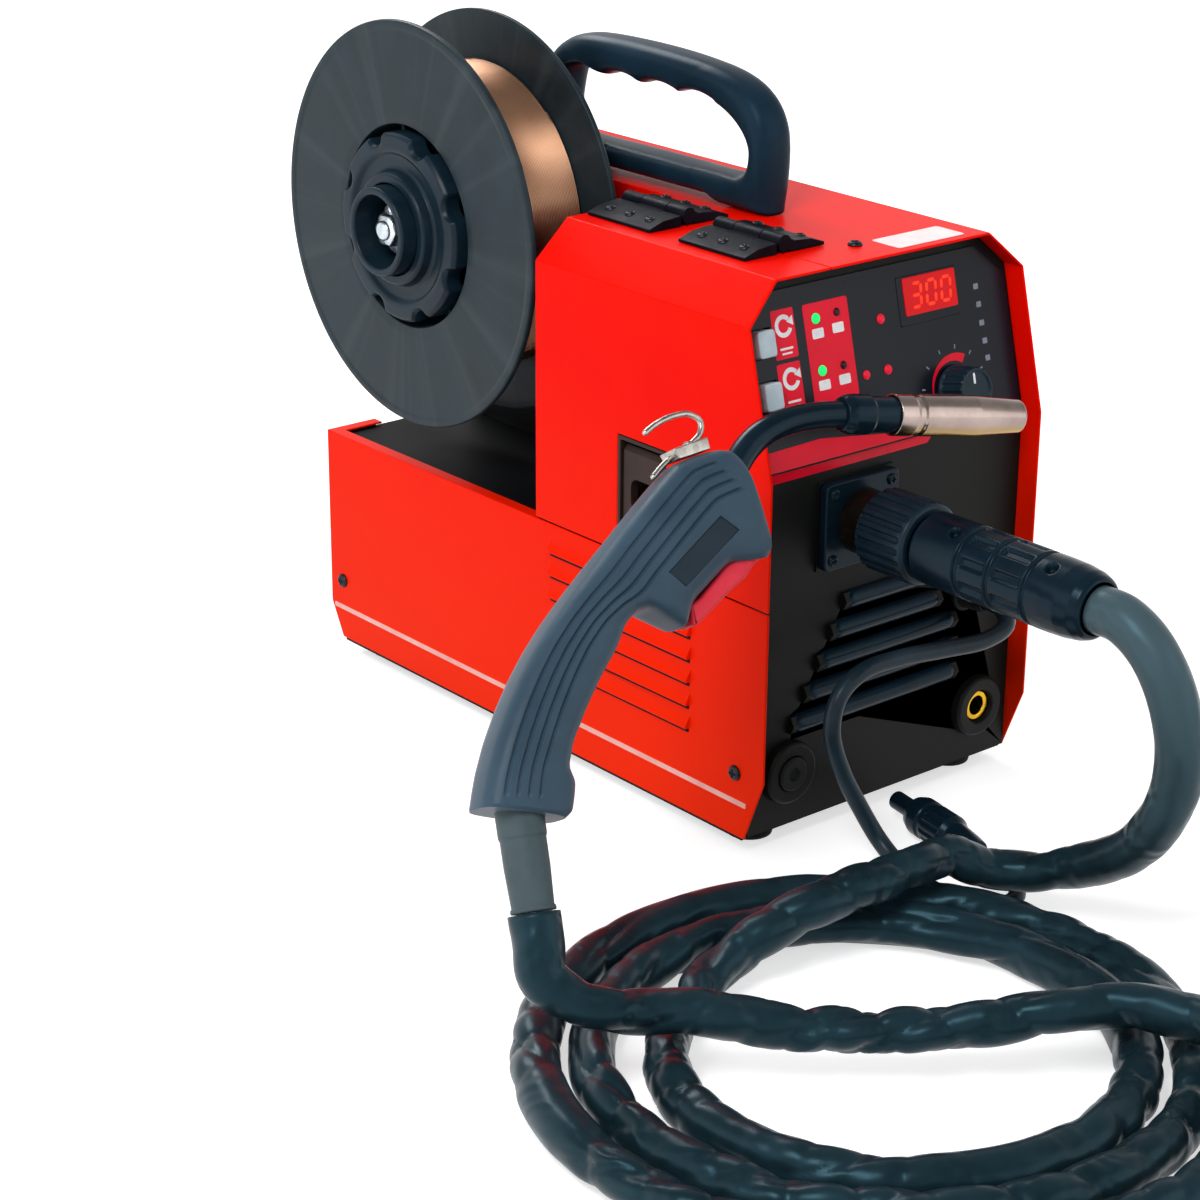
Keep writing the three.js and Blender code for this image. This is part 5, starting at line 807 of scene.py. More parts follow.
def rayReach(outline, centre, angles, nearest):
    # distance along each ray to a closed outline, by crossing every side with every ray
    p, q = outline - centre, np.roll(outline, -1, 0) - centre
    d = np.stack([np.cos(angles), np.sin(angles)], 1)
    side = q - p
    cross = d[:, None, 0] * side[None, :, 1] - d[:, None, 1] * side[None, :, 0]
    cross = np.where(np.abs(cross) < 1e-9, 1e-9, cross)
    far = (p[None, :, 0] * side[None, :, 1] - p[None, :, 1] * side[None, :, 0]) / cross
    along = (p[None, :, 0] * d[:, None, 1] - p[None, :, 1] * d[:, None, 0]) / cross
    hit = (along >= -1e-6) & (along <= 1 + 1e-6) & (far > 0)
    return np.where(hit, far, np.inf).min(1) if nearest else np.where(hit, far, 0).max(1)


def handleLoop():
    # section at each bearing a: centre half way between the outlines, and across it the rounded box
    # |cos t|^(2/n), |sin t|^(2/n) with half widths (outer - inner) / 2 and the handle's own
    outer, inner = handleOutlines()
    centre = np.array(handle["centre"], float)
    a = np.linspace(0, 2 * np.pi, 420, endpoint=False)
    far, near = rayReach(outer, centre, a, False), rayReach(inner, centre, a, True)
    t = np.linspace(0, 2 * np.pi, 48, endpoint=False)
    power = 2 / handle["square"]
    c, s = (np.sign(f(t)) * np.abs(f(t)) ** power for f in (np.cos, np.sin))
    r = ((far + near) / 2)[:, None] + ((far - near) / 2)[:, None] * c[None]
    x = handle["x"] + handle["half"] * np.broadcast_to(s, r.shape)
    z = np.maximum(centre[1] + r * np.sin(a)[:, None], case["height"] + 0.3)
    return np.stack([x, centre[0] + r * np.cos(a)[:, None], z], -1)


addPiece("handle_loop", shell(handleLoop(), ring=True), "mouldedNylonSlate", replaces="carry_handle")
addScrews("handle_screws", [((handle["x"], handle["front"] + y, 277.0), (0, 0, 1), 3.2, 1.2) for y in (24, 138)])
print("handle lofted")

spool = {"face": -80, "width": 54, "radius": 100, "barrel": 53, "bore": 26, "web": 26, "y": 271.5, "z": 240}
hubBase = np.array([spool["face"], spool["y"], spool["z"]], float)


def spoolTurned(corners, soft=0.6, sides=160):
    return lathe(corners, soft, hubBase, (1, 0, 0), sides, True)


def onSpool(turn):
    # (u, v, depth) with depth along the axle and v out along a spoke that stands at turn
    c, s = math.cos(turn), math.sin(turn)
    return lambda p: hubBase + np.stack([p[..., 2], p[..., 0] * s + p[..., 1] * c, p[..., 0] * c - p[..., 1] * s], -1)


r, w, b, bore, web = (spool[key] for key in ("radius", "width", "barrel", "bore", "web"))
webRibs = [
    plate(boxBetween(bore + 1.25, b - 1.25, -1.2, 1.2, 0.5), 13, web + 1, 0.4, onSpool(i * math.pi / 3 + 0.4))
    for i in range(6)
]
addPiece("spool_shell", [spoolTurned([
    (b - 3, 0.3), (b + 2, 0), (r - 5, 0.4), (r - 3.4, 0), (r - 0.6, 0), (r, 1.2), (r, 3.2), (r - 4, 3.4), (b, 2.6),
    (b, w - 2.6), (r - 4, w - 3.4), (r, w - 3.2), (r, w - 1.2), (r - 0.6, w), (r - 3.4, w), (r - 5, w - 0.4),
    (b + 2, w), (b - 3, w - 0.3), (b - 3, web + 3), (bore + 3, web + 3), (bore + 3, w - 4), (bore, w - 4),
    (bore, 12), (bore + 3, 12), (bore + 3, web), (b - 3, web),
])] + webRibs, "mouldedSpoolGrey", "spool", replaces="wire_spool")

winding = {"radius": 76, "wire": 0.9, "low": 4.1, "high": 49.9, "perTurn": 72, "round": 6}


def woundWire():
    # the wire's line is a screw of pitch one wire, and its skin stands round that line:
    # P(a, t) = axis(x0 + pitch a / 2 pi + r sin t) + spoke(a)(R - r + r cos t)
    r = winding["wire"] / 2
    turns = (winding["high"] - winding["low"] - winding["wire"]) / winding["wire"]
    a = np.linspace(0, 2 * np.pi * turns, int(turns * winding["perTurn"]))[:, None]
    t = np.linspace(0, 2 * np.pi, winding["round"], endpoint=False)[None]
    reach = winding["radius"] - r + r * np.cos(t) * 1.02
    x = winding["low"] + r + winding["wire"] * a / (2 * np.pi) + r * np.sin(t)
    return hubBase + np.stack([x, reach * np.sin(a), reach * np.cos(a)], -1)


under = winding["radius"] - 0.5
core = [(b + 1, winding["low"]), (under, winding["low"]), (under, winding["high"]), (b + 1, winding["high"])]
addPiece("wound_wire", [spoolTurned(core, 0.2, 128), shell(woundWire())], "drawnCopperWire", "spool", even=False,
         replaces="wire_winding")

hubReach, nutProud = 18, 5.5
addPiece("hub_tube", spoolTurned([
    (18, 0.8 - hubReach), (18.8, -hubReach), (21.2, -hubReach), (22, 1 - hubReach), (22, 11.4), (25.7, 12),
    (25.7, 50.3), (33, 50.3), (33, 54.3), (24, 54.3), (24, 62.3), (18, 62.3), (18, 44), (5.2, 44), (5.2, 40),
    (18, 40),
], 0.4, 96), "mouldedNutBlack", "spool", replaces="spool_hub")

nut = {"radius": 46.6, "lobes": 8, "depth": 5.0, "notch": 0.27, "seat": 11.4}


def notches(t):
    # a half-round bite per lobe: sqrt(1 - (angle from its middle / half its width)^2)
    away = np.angle(np.exp(1j * (nut["lobes"] * t + np.pi))) / nut["lobes"]
    return np.sqrt(np.clip(1 - (away / nut["notch"] * 2) ** 2, 0, 1))


f, k, rim = -nutProud, 10.9 - nutProud, nut["radius"]
addPiece("spool_nut_body", lathe([
    (22.7, f - 4), (26.6, f - 4), (27.6, f - 3), (28.6, f + 1.6), (30, f + 2.4), (35.5, f + 2.2), (37.5, f + 0.2),
    (39.4, f), (rim - 1.6, f + 0.2), (rim, f + 2.2), (rim, k - 0.6), (rim - 0.6, k), (30.6, k),
    (30.6, nut["seat"]), (22.7, nut["seat"]),
], 0.7, hubBase, (1, 0, 0), 384, True, 3, (
    nut["depth"], lambda r, h: np.clip((r - 39) / (rim - 40.4), 0, 1), notches
)), "mouldedNutBlack", "spool_nut", replaces="lock_nut")

axle = {"spring": 8.5, "wire": 1.1, "turns": 6.5, "tip": -14.5}
tip = axle["tip"]
springFrom, springTo = tip + 11.4 + axle["wire"], 40 - 0.3 - axle["wire"]
a = np.linspace(0, 2 * np.pi * axle["turns"], 170)
springX = springFrom + (springTo - springFrom) * a / a[-1]
springLine = hubBase + np.stack([springX, axle["spring"] * np.sin(a), axle["spring"] * np.cos(a)], 1)
axleParts = [
    ([(4.0, tip), (4.9, tip + 1), (4.9, 63)], 0.4, 48),
    ([(7.6, tip + 2), (8.5, tip + 2.7), (8.5, tip + 8.6), (7.6, tip + 9.2)], 0, 6),
    ([(12.6, tip + 9.2), (13, tip + 9.6), (13, tip + 11), (12.6, tip + 11.4)], 0.4, 48),
    ([(15, 62), (15, 70)], 0.4, 48), ([(20.5, 68.7), (19, 77.7)], 0.4, 72),
]
addPiece("axle_and_spring", [
    lathe([(0.01, line[0][1])] + line + [(0.01, line[-1][1])], soft, hubBase, (1, 0, 0), sides)
    for line, soft, sides in axleParts
] + [shell(carried(springLine, axle["wire"], 12))], "zincPlatedSteel", even=False, replaces="hub_axle")
print("spool wound")

ribsFront = {"count": 5, "top": 111, "pitch": 13.2, "left": (-30, -7.6), "right": (22, 11), "most": 46, "radius": 4.7}


def frontRib(i):
    # a bar of half round section whose ends close as quarter ellipses
    z = ribsFront["top"] - i * ribsFront["pitch"]
    left = ribsFront["left"][0] + i * ribsFront["left"][1]
    right = min(ribsFront["right"][0] + i * ribsFront["right"][1], ribsFront["most"])
    half = (right - left) / 2
    x = np.linspace(-1, 1, 60)
    x = np.sign(x) * (1 - (1 - np.abs(x)) ** 2)
    share = np.sqrt(np.clip(1 - np.clip((np.abs(x) * half - half + 6) / 6, 0, 1) ** 2, 1e-4, 1))
    t = np.linspace(0, 2 * np.pi, 28, endpoint=False)
    y = np.minimum(panelY + 0.4 - ribsFront["radius"] * np.cos(t)[None] * share[:, None], panelY + 1.6)
    up = z + ribsFront["radius"] * np.sin(t)[None] * share[:, None]
    along = np.broadcast_to(((left + right) / 2 + x * half)[:, None], y.shape)
    return shell(np.stack([along, y, up], -1))


addPiece("front_ribs", [frontRib(i) for i in range(ribsFront["count"])], "mouldedPlugBlack")

seat = {"x": -24, "z": 150, "face": 9.7}
addPiece("socket_flange", [
    plate(roundedBox(45, 41, 3.4, (seat["x"], seat["z"])), 0, 4.5, 0.9, facing("y", seat["face"] + 0.1, -1)),
] + [
    screwHead((seat["x"] + x, seat["face"] - 4.3, seat["z"] + z), (0, -1, 0), 2.8, 1.4)
    for x in (-17.5, 17.5) for z in (-15.5, 15.5)
], "mouldedPlugBlack")

y, back = panelY, (0, 1, 0)
for side, x in (("left", -61), ("right", 61)):
    addPiece(f"dinse_ring_{side}", lathe([
        (7.8, y - 3), (8.6, y - 5), (13.6, y - 5.2), (14.8, y - 4), (15.2, y - 0.3), (13, y - 0.3), (13, y + 20),
        (7.8, y + 20),
    ], 0.5, (x, 0, 36), back, 72, True), "mouldedAbsBlack", replaces=f"dinse_socket_{side}")
    addPiece(f"dinse_brass_{side}", lathe([
        (0.01, y + 16), (4.6, y + 16), (4.6, y - 2.2), (5.0, y - 2.7), (7.0, y - 2.7), (7.4, y - 2.2),
        (7.5, y + 24), (0.01, y + 24),
    ], 0.35, (x, 0, 36), back, 60), "turnedBrass", replaces=f"dinse_contact_{side}")

addPiece("socket_dust_cap", lathe([
    (0.01, y - 4.2), (2.6, y - 4.6), (3.4, y - 6.2), (7.2, y - 6.4), (8.2, y - 5.6), (8.2, y - 4.9), (7.6, y - 4.6),
    (7.6, y - 3), (0.01, y - 3),
], 0.3, (-61, 0, 36), back, 56), "softRubber")
addPiece("polarity_boot", lathe([
    (4.2, y - 16), (5.6, y - 16), (6.1, y - 12), (5.7, y - 11.4), (6.4, y - 8), (6.0, y - 7.4), (6.8, y - 3),
    (8.4, y - 2.6), (8.4, y - 0.3), (6, y - 0.3), (6, y + 8), (4.2, y + 8),
], 0.3, (50, 0, 96), back, 48, True), "softRubber", replaces="polarity_gland")

plug = {"nutDepth": 1.5, "slots": 9, "slotDepth": 1.6, "screw": 2.6}
plugBase = (seat["x"], 0, seat["z"])
addPiece("plug_ring", lathe([
    (15.3, 8), (17.9, 8), (19, 9.4), (19, 33.6), (18.4, 36), (17, 37), (14, 37), (14, 28.2), (15.3, 28.2),
], 0.5, plugBase, (0, -1, 0), 416, True, cut=(
    plug["nutDepth"], lambda r, h: (r > 17.6) & (h < 34), teeth(22, 2.2, 0.5)
)), "mouldedNutBlack", "torch_nut", replaces="plug_nut")


def plugShell():
    # r(h, t): a smooth line of radii, less two bands of long slots and less round wells for screws
    key = [(27.7, 12.4), (38.8, 12.5), (39, 15.6), (40, 16.4)]
    for low, high in ((65.6, 67), (84, 85.4), (104.6, 106)):
        key += [(low - 0.6, 16.5), (low, 15.3), (high, 15.3), (high + 0.6, 16.5)]
    key += [(114, 16.5), (122, 16.2), (129, 15.2), (132.6, 13.9), (134, 12.6), (134.1, 11.4), (122, 10.9)]
    key = np.array(key)
    far = np.r_[0, np.cumsum(np.linalg.norm(np.diff(key, axis=0), axis=1))]
    h, r = (np.interp(np.linspace(0, 1, 240) * far[-1], far, key[:, i]) for i in (0, 1))
    t = np.linspace(0, 2 * np.pi, 168, endpoint=False)
    outside = r > 15
    wave = np.clip(0.5 + 2.6 * (np.cos(plug["slots"] * t) - 0.45), 0, 1)
    reach = np.broadcast_to(r[:, None], (240, 168))
    for low, high in ((68.6, 82.4), (87, 103)):
        span = np.clip(np.minimum(h - low, high - h) / 0.9, 0, 1) * outside
        reach = reach - plug["slotDepth"] * span[:, None] * wave[None]
    for h0 in (59, 114):
        for t0 in (2.1, 2.1 + np.pi):
            away = np.angle(np.exp(1j * (t - t0)))[None] * 16.5
            gap = np.sqrt((h[:, None] - h0) ** 2 + away**2)
            reach = reach - 3.2 * np.clip((plug["screw"] - gap) / 0.5 + 0.5, 0, 1) * outside[:, None]
    depth = np.broadcast_to(-h[:, None], reach.shape)
    return np.array(plugBase) + np.stack([reach * np.cos(t)[None], depth, reach * np.sin(t)[None]], -1)


addPiece("plug_shell", shell(plugShell()), "mouldedPlugBlack", replaces="plug_body")
print("front fitted")

panel = {"face": 1.5, "ink": 0.14, "lamp": 0.55}
knobAt = np.array([case["half"] - 45, 16.45])


def ink(outline, layer=0, edge=0.04):
    # print on the panel: the first layer on its face and the second on the first
    low = (0, panel["ink"])[layer]
    return plate(outline, panel["face"] + low, panel["face"] + low + (panel["ink"], 0.1)[layer], edge, onPanel)


def ringBand(centre, inner, outer, start, end, taper=0, layer=0):
    # a flat band between two arcs: its outer edge closes on the inner one by taper along the way
    a = np.radians(np.linspace(start, end, 48))
    spoke = np.stack([np.cos(a), np.sin(a)], 1)
    wide = inner + (outer - inner) * (1 - taper * np.linspace(0, 1, 48))
    return ink(np.vstack([centre + wide[:, None] * spoke, (centre + inner * spoke)[::-1]]), layer, 0)


addPiece("panel_red_print", [
    ink(boxBetween(-64.3, -51.0, 48.4, 70)), ink(boxBetween(-64.6, -51.0, 25.2, 46.6)),
    ink(boxBetween(-45.4, -18.6, 25.4, 69.6, 1.2)), ringBand(knobAt, 13.2, 17.4, 58, 178, 0.85),
    ink([(-77, 0.9), (-77, 10), (-45, 10.6), (14, 2.4), (23, 0.9)], edge=0),
], "screenInkRed")
strip = [(-78, 175.6), (21, 175.6), (25, 179.8), (-78, 179.8)]
addPiece("panel_red_strip", plate(strip, 0, panel["ink"], 0, facing("y", panelY, -1)), "screenInkRed")

whitePrint = []
for x, s in ((-57.6, 62.6), (-57.2, 39.4)):
    whitePrint += [
        ringBand((x, s), 3.0, 5.0, 40, 340, layer=1),
        ink([(x + 5.6, s + 4.0), (x + 2.0, s + 1.6), (x + 5.8, s - 0.4)], 1, 0),
        ink(boxBetween(x - 3.6, x + 4.0, s - 10.4, s - 9.4, 0.3), 1, 0),
        ink(boxBetween(x - 2.8, x + 3.2, s - 12.4, s - 11.6, 0.3), 1, 0),
    ]
for at in ((-38.2, 56), (-26, 56.6), (-38.3, 33.2), (-26, 33.6)):
    whitePrint += [ink(roundedBox(6.8, 4.4, 0.8, at), 1, 0)]
greyPrint = [
    ink(roundedBox(3, 2.6, 0.4, (61.6 + i * 0.5, s)), edge=0) for i, s in enumerate((60.3, 52, 43.4, 35, 27))
]
for a in np.radians(np.arange(200, -11, -30)):
    c, s = np.cos(a), np.sin(a)
    tick = [(18.6, -0.35), (20.6, -0.35), (20.6, 0.35), (18.6, 0.35)]
    greyPrint += [ink([(knobAt[0] + u * c - v * s, knobAt[1] + u * s + v * c) for u, v in tick], edge=0)]
addPiece("panel_white_print", whitePrint, "screenInkWhite")
addPiece("panel_grey_print", greyPrint, "screenInkGrey")


def lampAt(x, s, radius):
    # a dome: r falls as a quarter circle over its rise
    a = np.linspace(0, np.pi / 2, 7)
    top = panel["face"] + panel["ink"] + radius * panel["lamp"] * np.sin(a)
    profile = np.stack([np.maximum(radius * np.cos(a), 0.01), top], 1)
    profile = np.vstack([[(0.01, panel["face"] - 0.2), (radius, panel["face"] - 0.2)], profile])
    t = np.linspace(0, 2 * np.pi, 28, endpoint=False)
    flat = np.stack([x + profile[:, :1] * np.cos(t), s + profile[:, :1] * np.sin(t)], -1)
    deep = np.broadcast_to(profile[:, 1][:, None, None], flat.shape[:2] + (1,))
    return shell(onPanel(np.concatenate([flat, deep], -1)))


for kind, look, places in (
    ("green", "lampGreen", [(-38.4, 62.6, 2.4), (-38.6, 39.6, 2.4)]),
    ("dark", "lampDark", [(-25.7, 63.4, 1.9), (-25.8, 39.8, 1.9)]),
    ("red", "lampRed", [(0, 55.8, 2.3), (0.5, 32.9, 2.3), (-12.9, 32.9, 2.1)]),
):
    addPiece("lamps_" + kind, [lampAt(*place) for place in places], look)

display = {
    "low": (15.6, 54.0), "high": (48.8, 71.2), "face": 2.2, "wide": 5.6, "tall": 10.6, "slant": 0.1, "step": 9.4,
}
(x0, s0), (x1, s1) = display["low"], display["high"]
bezel = plate(boxBetween(12.0, 50.0, 50.0, 72.0), 0.4, panel["face"] + 0.25, 0.2, onPanel)
addPiece("display_bezel", bezel, "printedOverlayFilm")
pane = plate(boxBetween(x0, x1, s0, s1, 1.0), 0.3, display["face"], 0.3, onPanel)
addPiece("display_pane", pane, "tintedAcrylicRed", replaces="display_window")

segments = {"3": "abcdg", "0": "abcdef"}
strokes = {
    "a": ((0, 1), (1, 1)), "b": ((1, 1), (1, 0.5)), "c": ((1, 0.5), (1, 0)), "d": ((0, 0), (1, 0)),
    "e": ((0, 0.5), (0, 0)), "f": ((0, 1), (0, 0.5)), "g": ((0, 0.5), (1, 0.5)),
}


def digit(text, place):
    # each stroke of a seven-part figure is a bar with pointed ends, leant over by a little
    thick, made = 0.75, []
    for part in segments[text]:
        start, end = (np.array(p) * (display["wide"], display["tall"]) for p in strokes[part])
        way = unit(end - start)
        side = np.array([-way[1], way[0]]) * thick
        start, end = start + way * 0.5, end - way * 0.5
        bar = np.array([start, start + way * thick + side, end - way * thick + side, end, end - way * thick - side,
                        start + way * thick - side])
        bar = bar + np.stack([bar[:, 1] * display["slant"], 0 * bar[:, 1]], 1) + place
        made.append(plate(bar, display["face"], display["face"] + 0.12, 0, onPanel))
    return made


figures = [digit(text, (x0 + 4.4 + i * display["step"], s0 + 3.4)) for i, text in enumerate("300")]
addPiece("display_figures", sum(figures, []), "segmentLight", even=False)

for level, s in (("upper", 56.97), ("lower", 34.03)):
    cap = plate(roundedBox(10, 12, 1.6, (-71, s)), -4.3, 5.5, 0.7, onPanel)
    collar = plate(roundedBox(14, 16, 1, (-71, s)), -5.3, -3.3, 0.2, onPanel)
    addPiece(f"button_{level}_cap", [cap, collar], "mouldedWhiteCap", level + "_button", replaces="button_" + level)

knobBase = onPanel(np.array([*knobAt, 0]))
knobWay = onPanel(np.array([*knobAt, 1])) - knobBase
addPiece("knob_body", lathe([
    (0.01, 14.9), (8.0, 14.9), (8.8, 15.9), (9.6, 16), (10.2, 15.2), (11.0, 4.4), (11.5, 3.4), (11.5, 2.3),
    (3.2, 2.2), (3.2, -9), (0.01, -9),
], 0.35, knobBase, knobWay, 180, cut=(0.7, lambda r, h: (r > 9.8) & (h > 4), teeth(18, 2, 0.4))),
    "mouldedNutBlack", "knob", replaces="current_knob")
mark = roundedBox(1.2, 5, 0.4, knobAt + (0, 5.1))
addPiece("knob_mark", plate(mark, 14.8, 15.06, 0.05, onPanel), "screenInkWhite", "knob")
print("control panel printed")

# pairs of points on the back and finger edges that each station line across the grip joins, foot to head
torchStations = np.array([
    ((-183.3, -119.5), (-149.5, -132.3)), ((-182, -116.8), (-145.6, -130.2)), ((-180.4, -113.6), (-143, -125)),
    ((-178.8, -110.6), (-140.8, -119.6)), ((-176.2, -106), (-141.8, -113)), ((-169.2, -95.3), (-136.8, -104)),
    ((-160.3, -84), (-126.6, -92.3)), ((-151.5, -74.3), (-116.5, -82)), ((-142.6, -65.7), (-106.3, -73)),
    ((-131.5, -56.4), (-99.5, -64.5)), ((-119.3, -47.4), (-92.6, -60.4)), ((-107, -39), (-86.3, -60.6)),
    ((-98.5, -33.3), (-79.6, -66.4)), ((-92.3, -29.2), (-72.4, -72)), ((-86, -25), (-66.4, -62.6)),
    ((-76, -18.4), (-55, -56.2)), ((-65, -11.4), (-44.5, -50.4)), ((-54.6, -5.4), (-34, -51.6)),
    ((-48.5, -4.3), (-25.4, -52.4)), ((-44, -3.8), (-21.4, -48.6)), ((-39.6, -3.4), (-21.6, -33)),
    ((-35.4, -3.3), (-22.4, -20.4)), ((-31.5, -4.2), (-24.6, -14)), ((-29.4, -5.2), (-26.6, -9.6)),
], float)
grooves = {"at": (6.4, 11.2, 16.0, 20.8), "deep": 1.3, "half": 1.1, "from": 0.05, "to": 0.86, "fit": 27.5}


def gripShell():
    # across each station line a rounded box, half thickness T (1 - |1 - 2 a / W|^n)^(1 / n) at a of W; its
    # rows keep a set distance from the back edge, so that the long V channels run true along both cheeks
    share = np.linspace(0, len(torchStations) - 1, 300)
    known = torchStations.reshape(-1, 4)
    edges = np.stack([np.interp(share, np.arange(len(known)), known[:, i]) for i in range(4)], 1)
    padded = np.vstack([edges[:1].repeat(3, 0), edges, edges[-1:].repeat(3, 0)])
    edges = np.stack([np.convolve(padded[:, i], np.ones(7) / 7, "valid") for i in range(4)], 1)
    back, finger = edges[:, :2], edges[:, 2:]
    along = share / share[-1]
    thick = torch["thick"] / 2 * np.interp(
        along, [0, 0.02, 0.1, 0.5, 0.8, 0.9, 0.96, 1], [0.9, 0.97, 0.98, 0.96, 0.98, 0.9, 0.78, 0.6]
    )
    wide = np.linalg.norm(finger - back, axis=1)
    n = 3.4
    brink = np.array([0.12, 0.4, 0.9, 1.7, 2.8, 4.2])
    spread = grooves["half"] * np.array([-1.25, -1, -0.5, 0, 0.5, 1, 1.25])
    rows = np.concatenate([at + spread for at in grooves["at"]])
    fit = np.minimum(1, wide / grooves["fit"])[:, None]
    start, end = rows * fit, wide[:, None] - brink[::-1] * fit
    last = start[:, -1:]
    middle = last + (end[:, :1] - last) * np.linspace(0, 1, 8)[None, 1:-1]
    across = np.hstack([brink * fit, start, middle, end])
    half = thick[:, None] * (1 - np.abs(1 - 2 * across / wide[:, None]) ** n) ** (1 / n)
    ends = np.clip(np.minimum(along - grooves["from"], grooves["to"] - along) / 0.03, 0, 1)[:, None]
    pressed = sum(np.clip(1 - np.abs(across / fit - at) / grooves["half"], 0, 1) for at in grooves["at"])
    half = half - grooves["deep"] * pressed * ends
    # once round: back edge, one cheek, finger edge, the other cheek
    flat = np.hstack([0 * fit, across, wide[:, None], across[:, ::-1]])
    deep = np.hstack([0 * fit, half, 0 * fit, -half[:, ::-1]])
    way = (finger - back) / wide[:, None]
    return onTorch(np.concatenate([back[:, None] + way[:, None] * flat[..., None], deep[..., None]], -1))


def carve(piece, cutters):
    # cuts closed shells out of a finished piece and keeps the result as its mesh
    mesh = meshOf("cutter", cutters)
    tool = bpy.data.objects.new("cutter", mesh)
    bpy.context.scene.collection.objects.link(tool)
    kept = list(piece.modifiers)
    step = piece.modifiers.new("carve", "BOOLEAN")
    step.operation, step.object, step.solver = "DIFFERENCE", tool, "EXACT"
    for modifier in kept:
        modifier.show_viewport = False
    bpy.context.view_layer.update()
    result = bpy.data.meshes.new_from_object(piece.evaluated_get(bpy.context.evaluated_depsgraph_get()))
    piece.modifiers.remove(step)
    for modifier in kept:
        modifier.show_viewport = True
    old = piece.data
    piece.data = result
    result.materials.clear()
    result.materials.append(old.materials[0])
    bpy.data.objects.remove(tool)
    bpy.data.meshes.remove(mesh)
    bpy.data.meshes.remove(old)
    result.polygons.foreach_set("use_smooth", np.ones(len(result.polygons), bool))
    result.set_sharp_from_angle(angle=math.radians(38))


grip = addPiece("torch_handle", shell(gripShell()), "mouldedNylonGrip", replaces="torch_grip")
window = np.array([(-46.2, -31), (-39, -38.4), (-71.2, -56), (-77.6, -48.6)], float)
cheek = torch["thick"] / 2
well = [(-72.4, -80), (-70.5, -59), (-64, -56), (-44, -43.5), (-22, -43.5), (-20, -62)]
carve(grip, [
    plate(well, -7, 7, 0, onTorch), plate(window, cheek - 1.6, cheek + 6, 0, onTorch),
    plate(window, -cheek - 6, -cheek + 1.6, 0, onTorch),
])
away = window - window.mean(0)
inset = window.mean(0) + away * (1 - 0.5 / np.linalg.norm(away, axis=1, keepdims=True))
addPiece("grip_windows", plate(inset, 1.0 - cheek, cheek - 1.0, 0.3, onTorch), "mouldedNylonInset")
pin = lathe([(0.01, -8), (1.5, -8), (1.5, 8), (0.01, 8)], 0.1, onTorch([-29, -49.4, 0]), torchW, 24)
addPiece("trigger_pin", pin, "blackOxideScrew")

triggerLine = roundCorners([
    (-68, -63), (-68.5, -71.6), (-66, -71.4), (-46, -61), (-37, -57.2), (-32, -53), (-24.5, -49.5), (-24.5, -46.5),
    (-30, -46), (-45, -50), (-62, -61),
], 1.2, 4, closed=True)
addPiece("trigger_lever", plate(triggerLine, -6, 6, 1.7, onTorch, 5), "mouldedTriggerRed", "trigger",
         replaces="torch_trigger")

neckLine = onTorch(evenly(throughPoints([
    (-33.4, -22.2), (-31, -19.5), (-21.3, -9), (-10, -1.5), (5, 2.6), (22, 3), (38, 1)
]), 1.2)[0])
neckEnd, start, end = (onTorch(p) for p in ((38, 1), (61, -3.2), (128, -15.4)))
barrelSpan, nozzleSpan = float(np.linalg.norm(start - neckEnd)), float(np.linalg.norm(end - start))
addPiece("swan_neck", [shell(carried(neckLine, 5.8, 40)), lathe([
    (0.01, -2.5), (7.2, -2.5), (8.2, -0.6), (8.7, 1.4), (8.8, barrelSpan * 0.45), (7.9, barrelSpan * 0.5),
    (7.8, barrelSpan + 6), (0.01, barrelSpan + 6),
], 0.5, neckEnd, start - neckEnd, 64)], "mouldedPlugBlack", replaces="torch_neck")
addPiece("nozzle_cup", lathe([
    (8.05, 0.3), (9.0, 0.3), (9.2, 0.6), (9.2, 9), (8.7, 10), (8.6, 12.6), (9.2, 13.8), (9.2, nozzleSpan * 0.62),
    (7.3, nozzleSpan - 0.6), (6.9, nozzleSpan), (5.9, nozzleSpan), (5.8, nozzleSpan - 6), (8.05, nozzleSpan * 0.55),
], 0.45, start, end - start, 96, True, 3), "nickelPlatedBrass", replaces="gas_nozzle")
addPiece("tip_and_holder", lathe([
    (0.01, 6.3), (5.5, 6.3), (5.6, 7), (5.6, 20), (3, 22.4), (3, nozzleSpan - 8), (2, nozzleSpan - 5),
    (0.01, nozzleSpan - 5),
], 0.4, start, end - start, 40), "drawnCopperWire", replaces="contact_tip")


def hookWire(points, thick=1.3, step=0.8):
    # full along the wire and rounded off over the last millimetre of each end
    line = evenly(throughPoints(points), step)[0]
    end = np.minimum(np.arange(len(line)), np.arange(len(line))[::-1]) * step
    radii = thick * np.sqrt(np.clip(1 - np.clip(1 - end / thick, 0, 0.98) ** 2, 0.04, 1))
    return shell(carried(onTorch(line), radii[:, None], 20))


hookPlate = roundCorners([(-37, -2.6), (-53, -4.1), (-54.4, 0.6), (-37, 2.6)], 0.7, 3, closed=True)
addPiece("hook_wire", [
    hookWire([(-43.5, 1), (-36, 5.5), (-34.4, 10.5), (-39, 14.2), (-47.4, 14.5), (-56, 12.6), (-63, 9.6)]),
    hookWire([(-47, 0), (-57, -4), (-65, -9)]), plate(hookPlate, -6, 6, 0.5, onTorch),
    screwHead(onTorch([-45.5, 1.4, 3.2]), torchV, 2.2, 1.2),
], "polishedHookSteel", even=False, replaces="hanging_hook")
print("torch made")

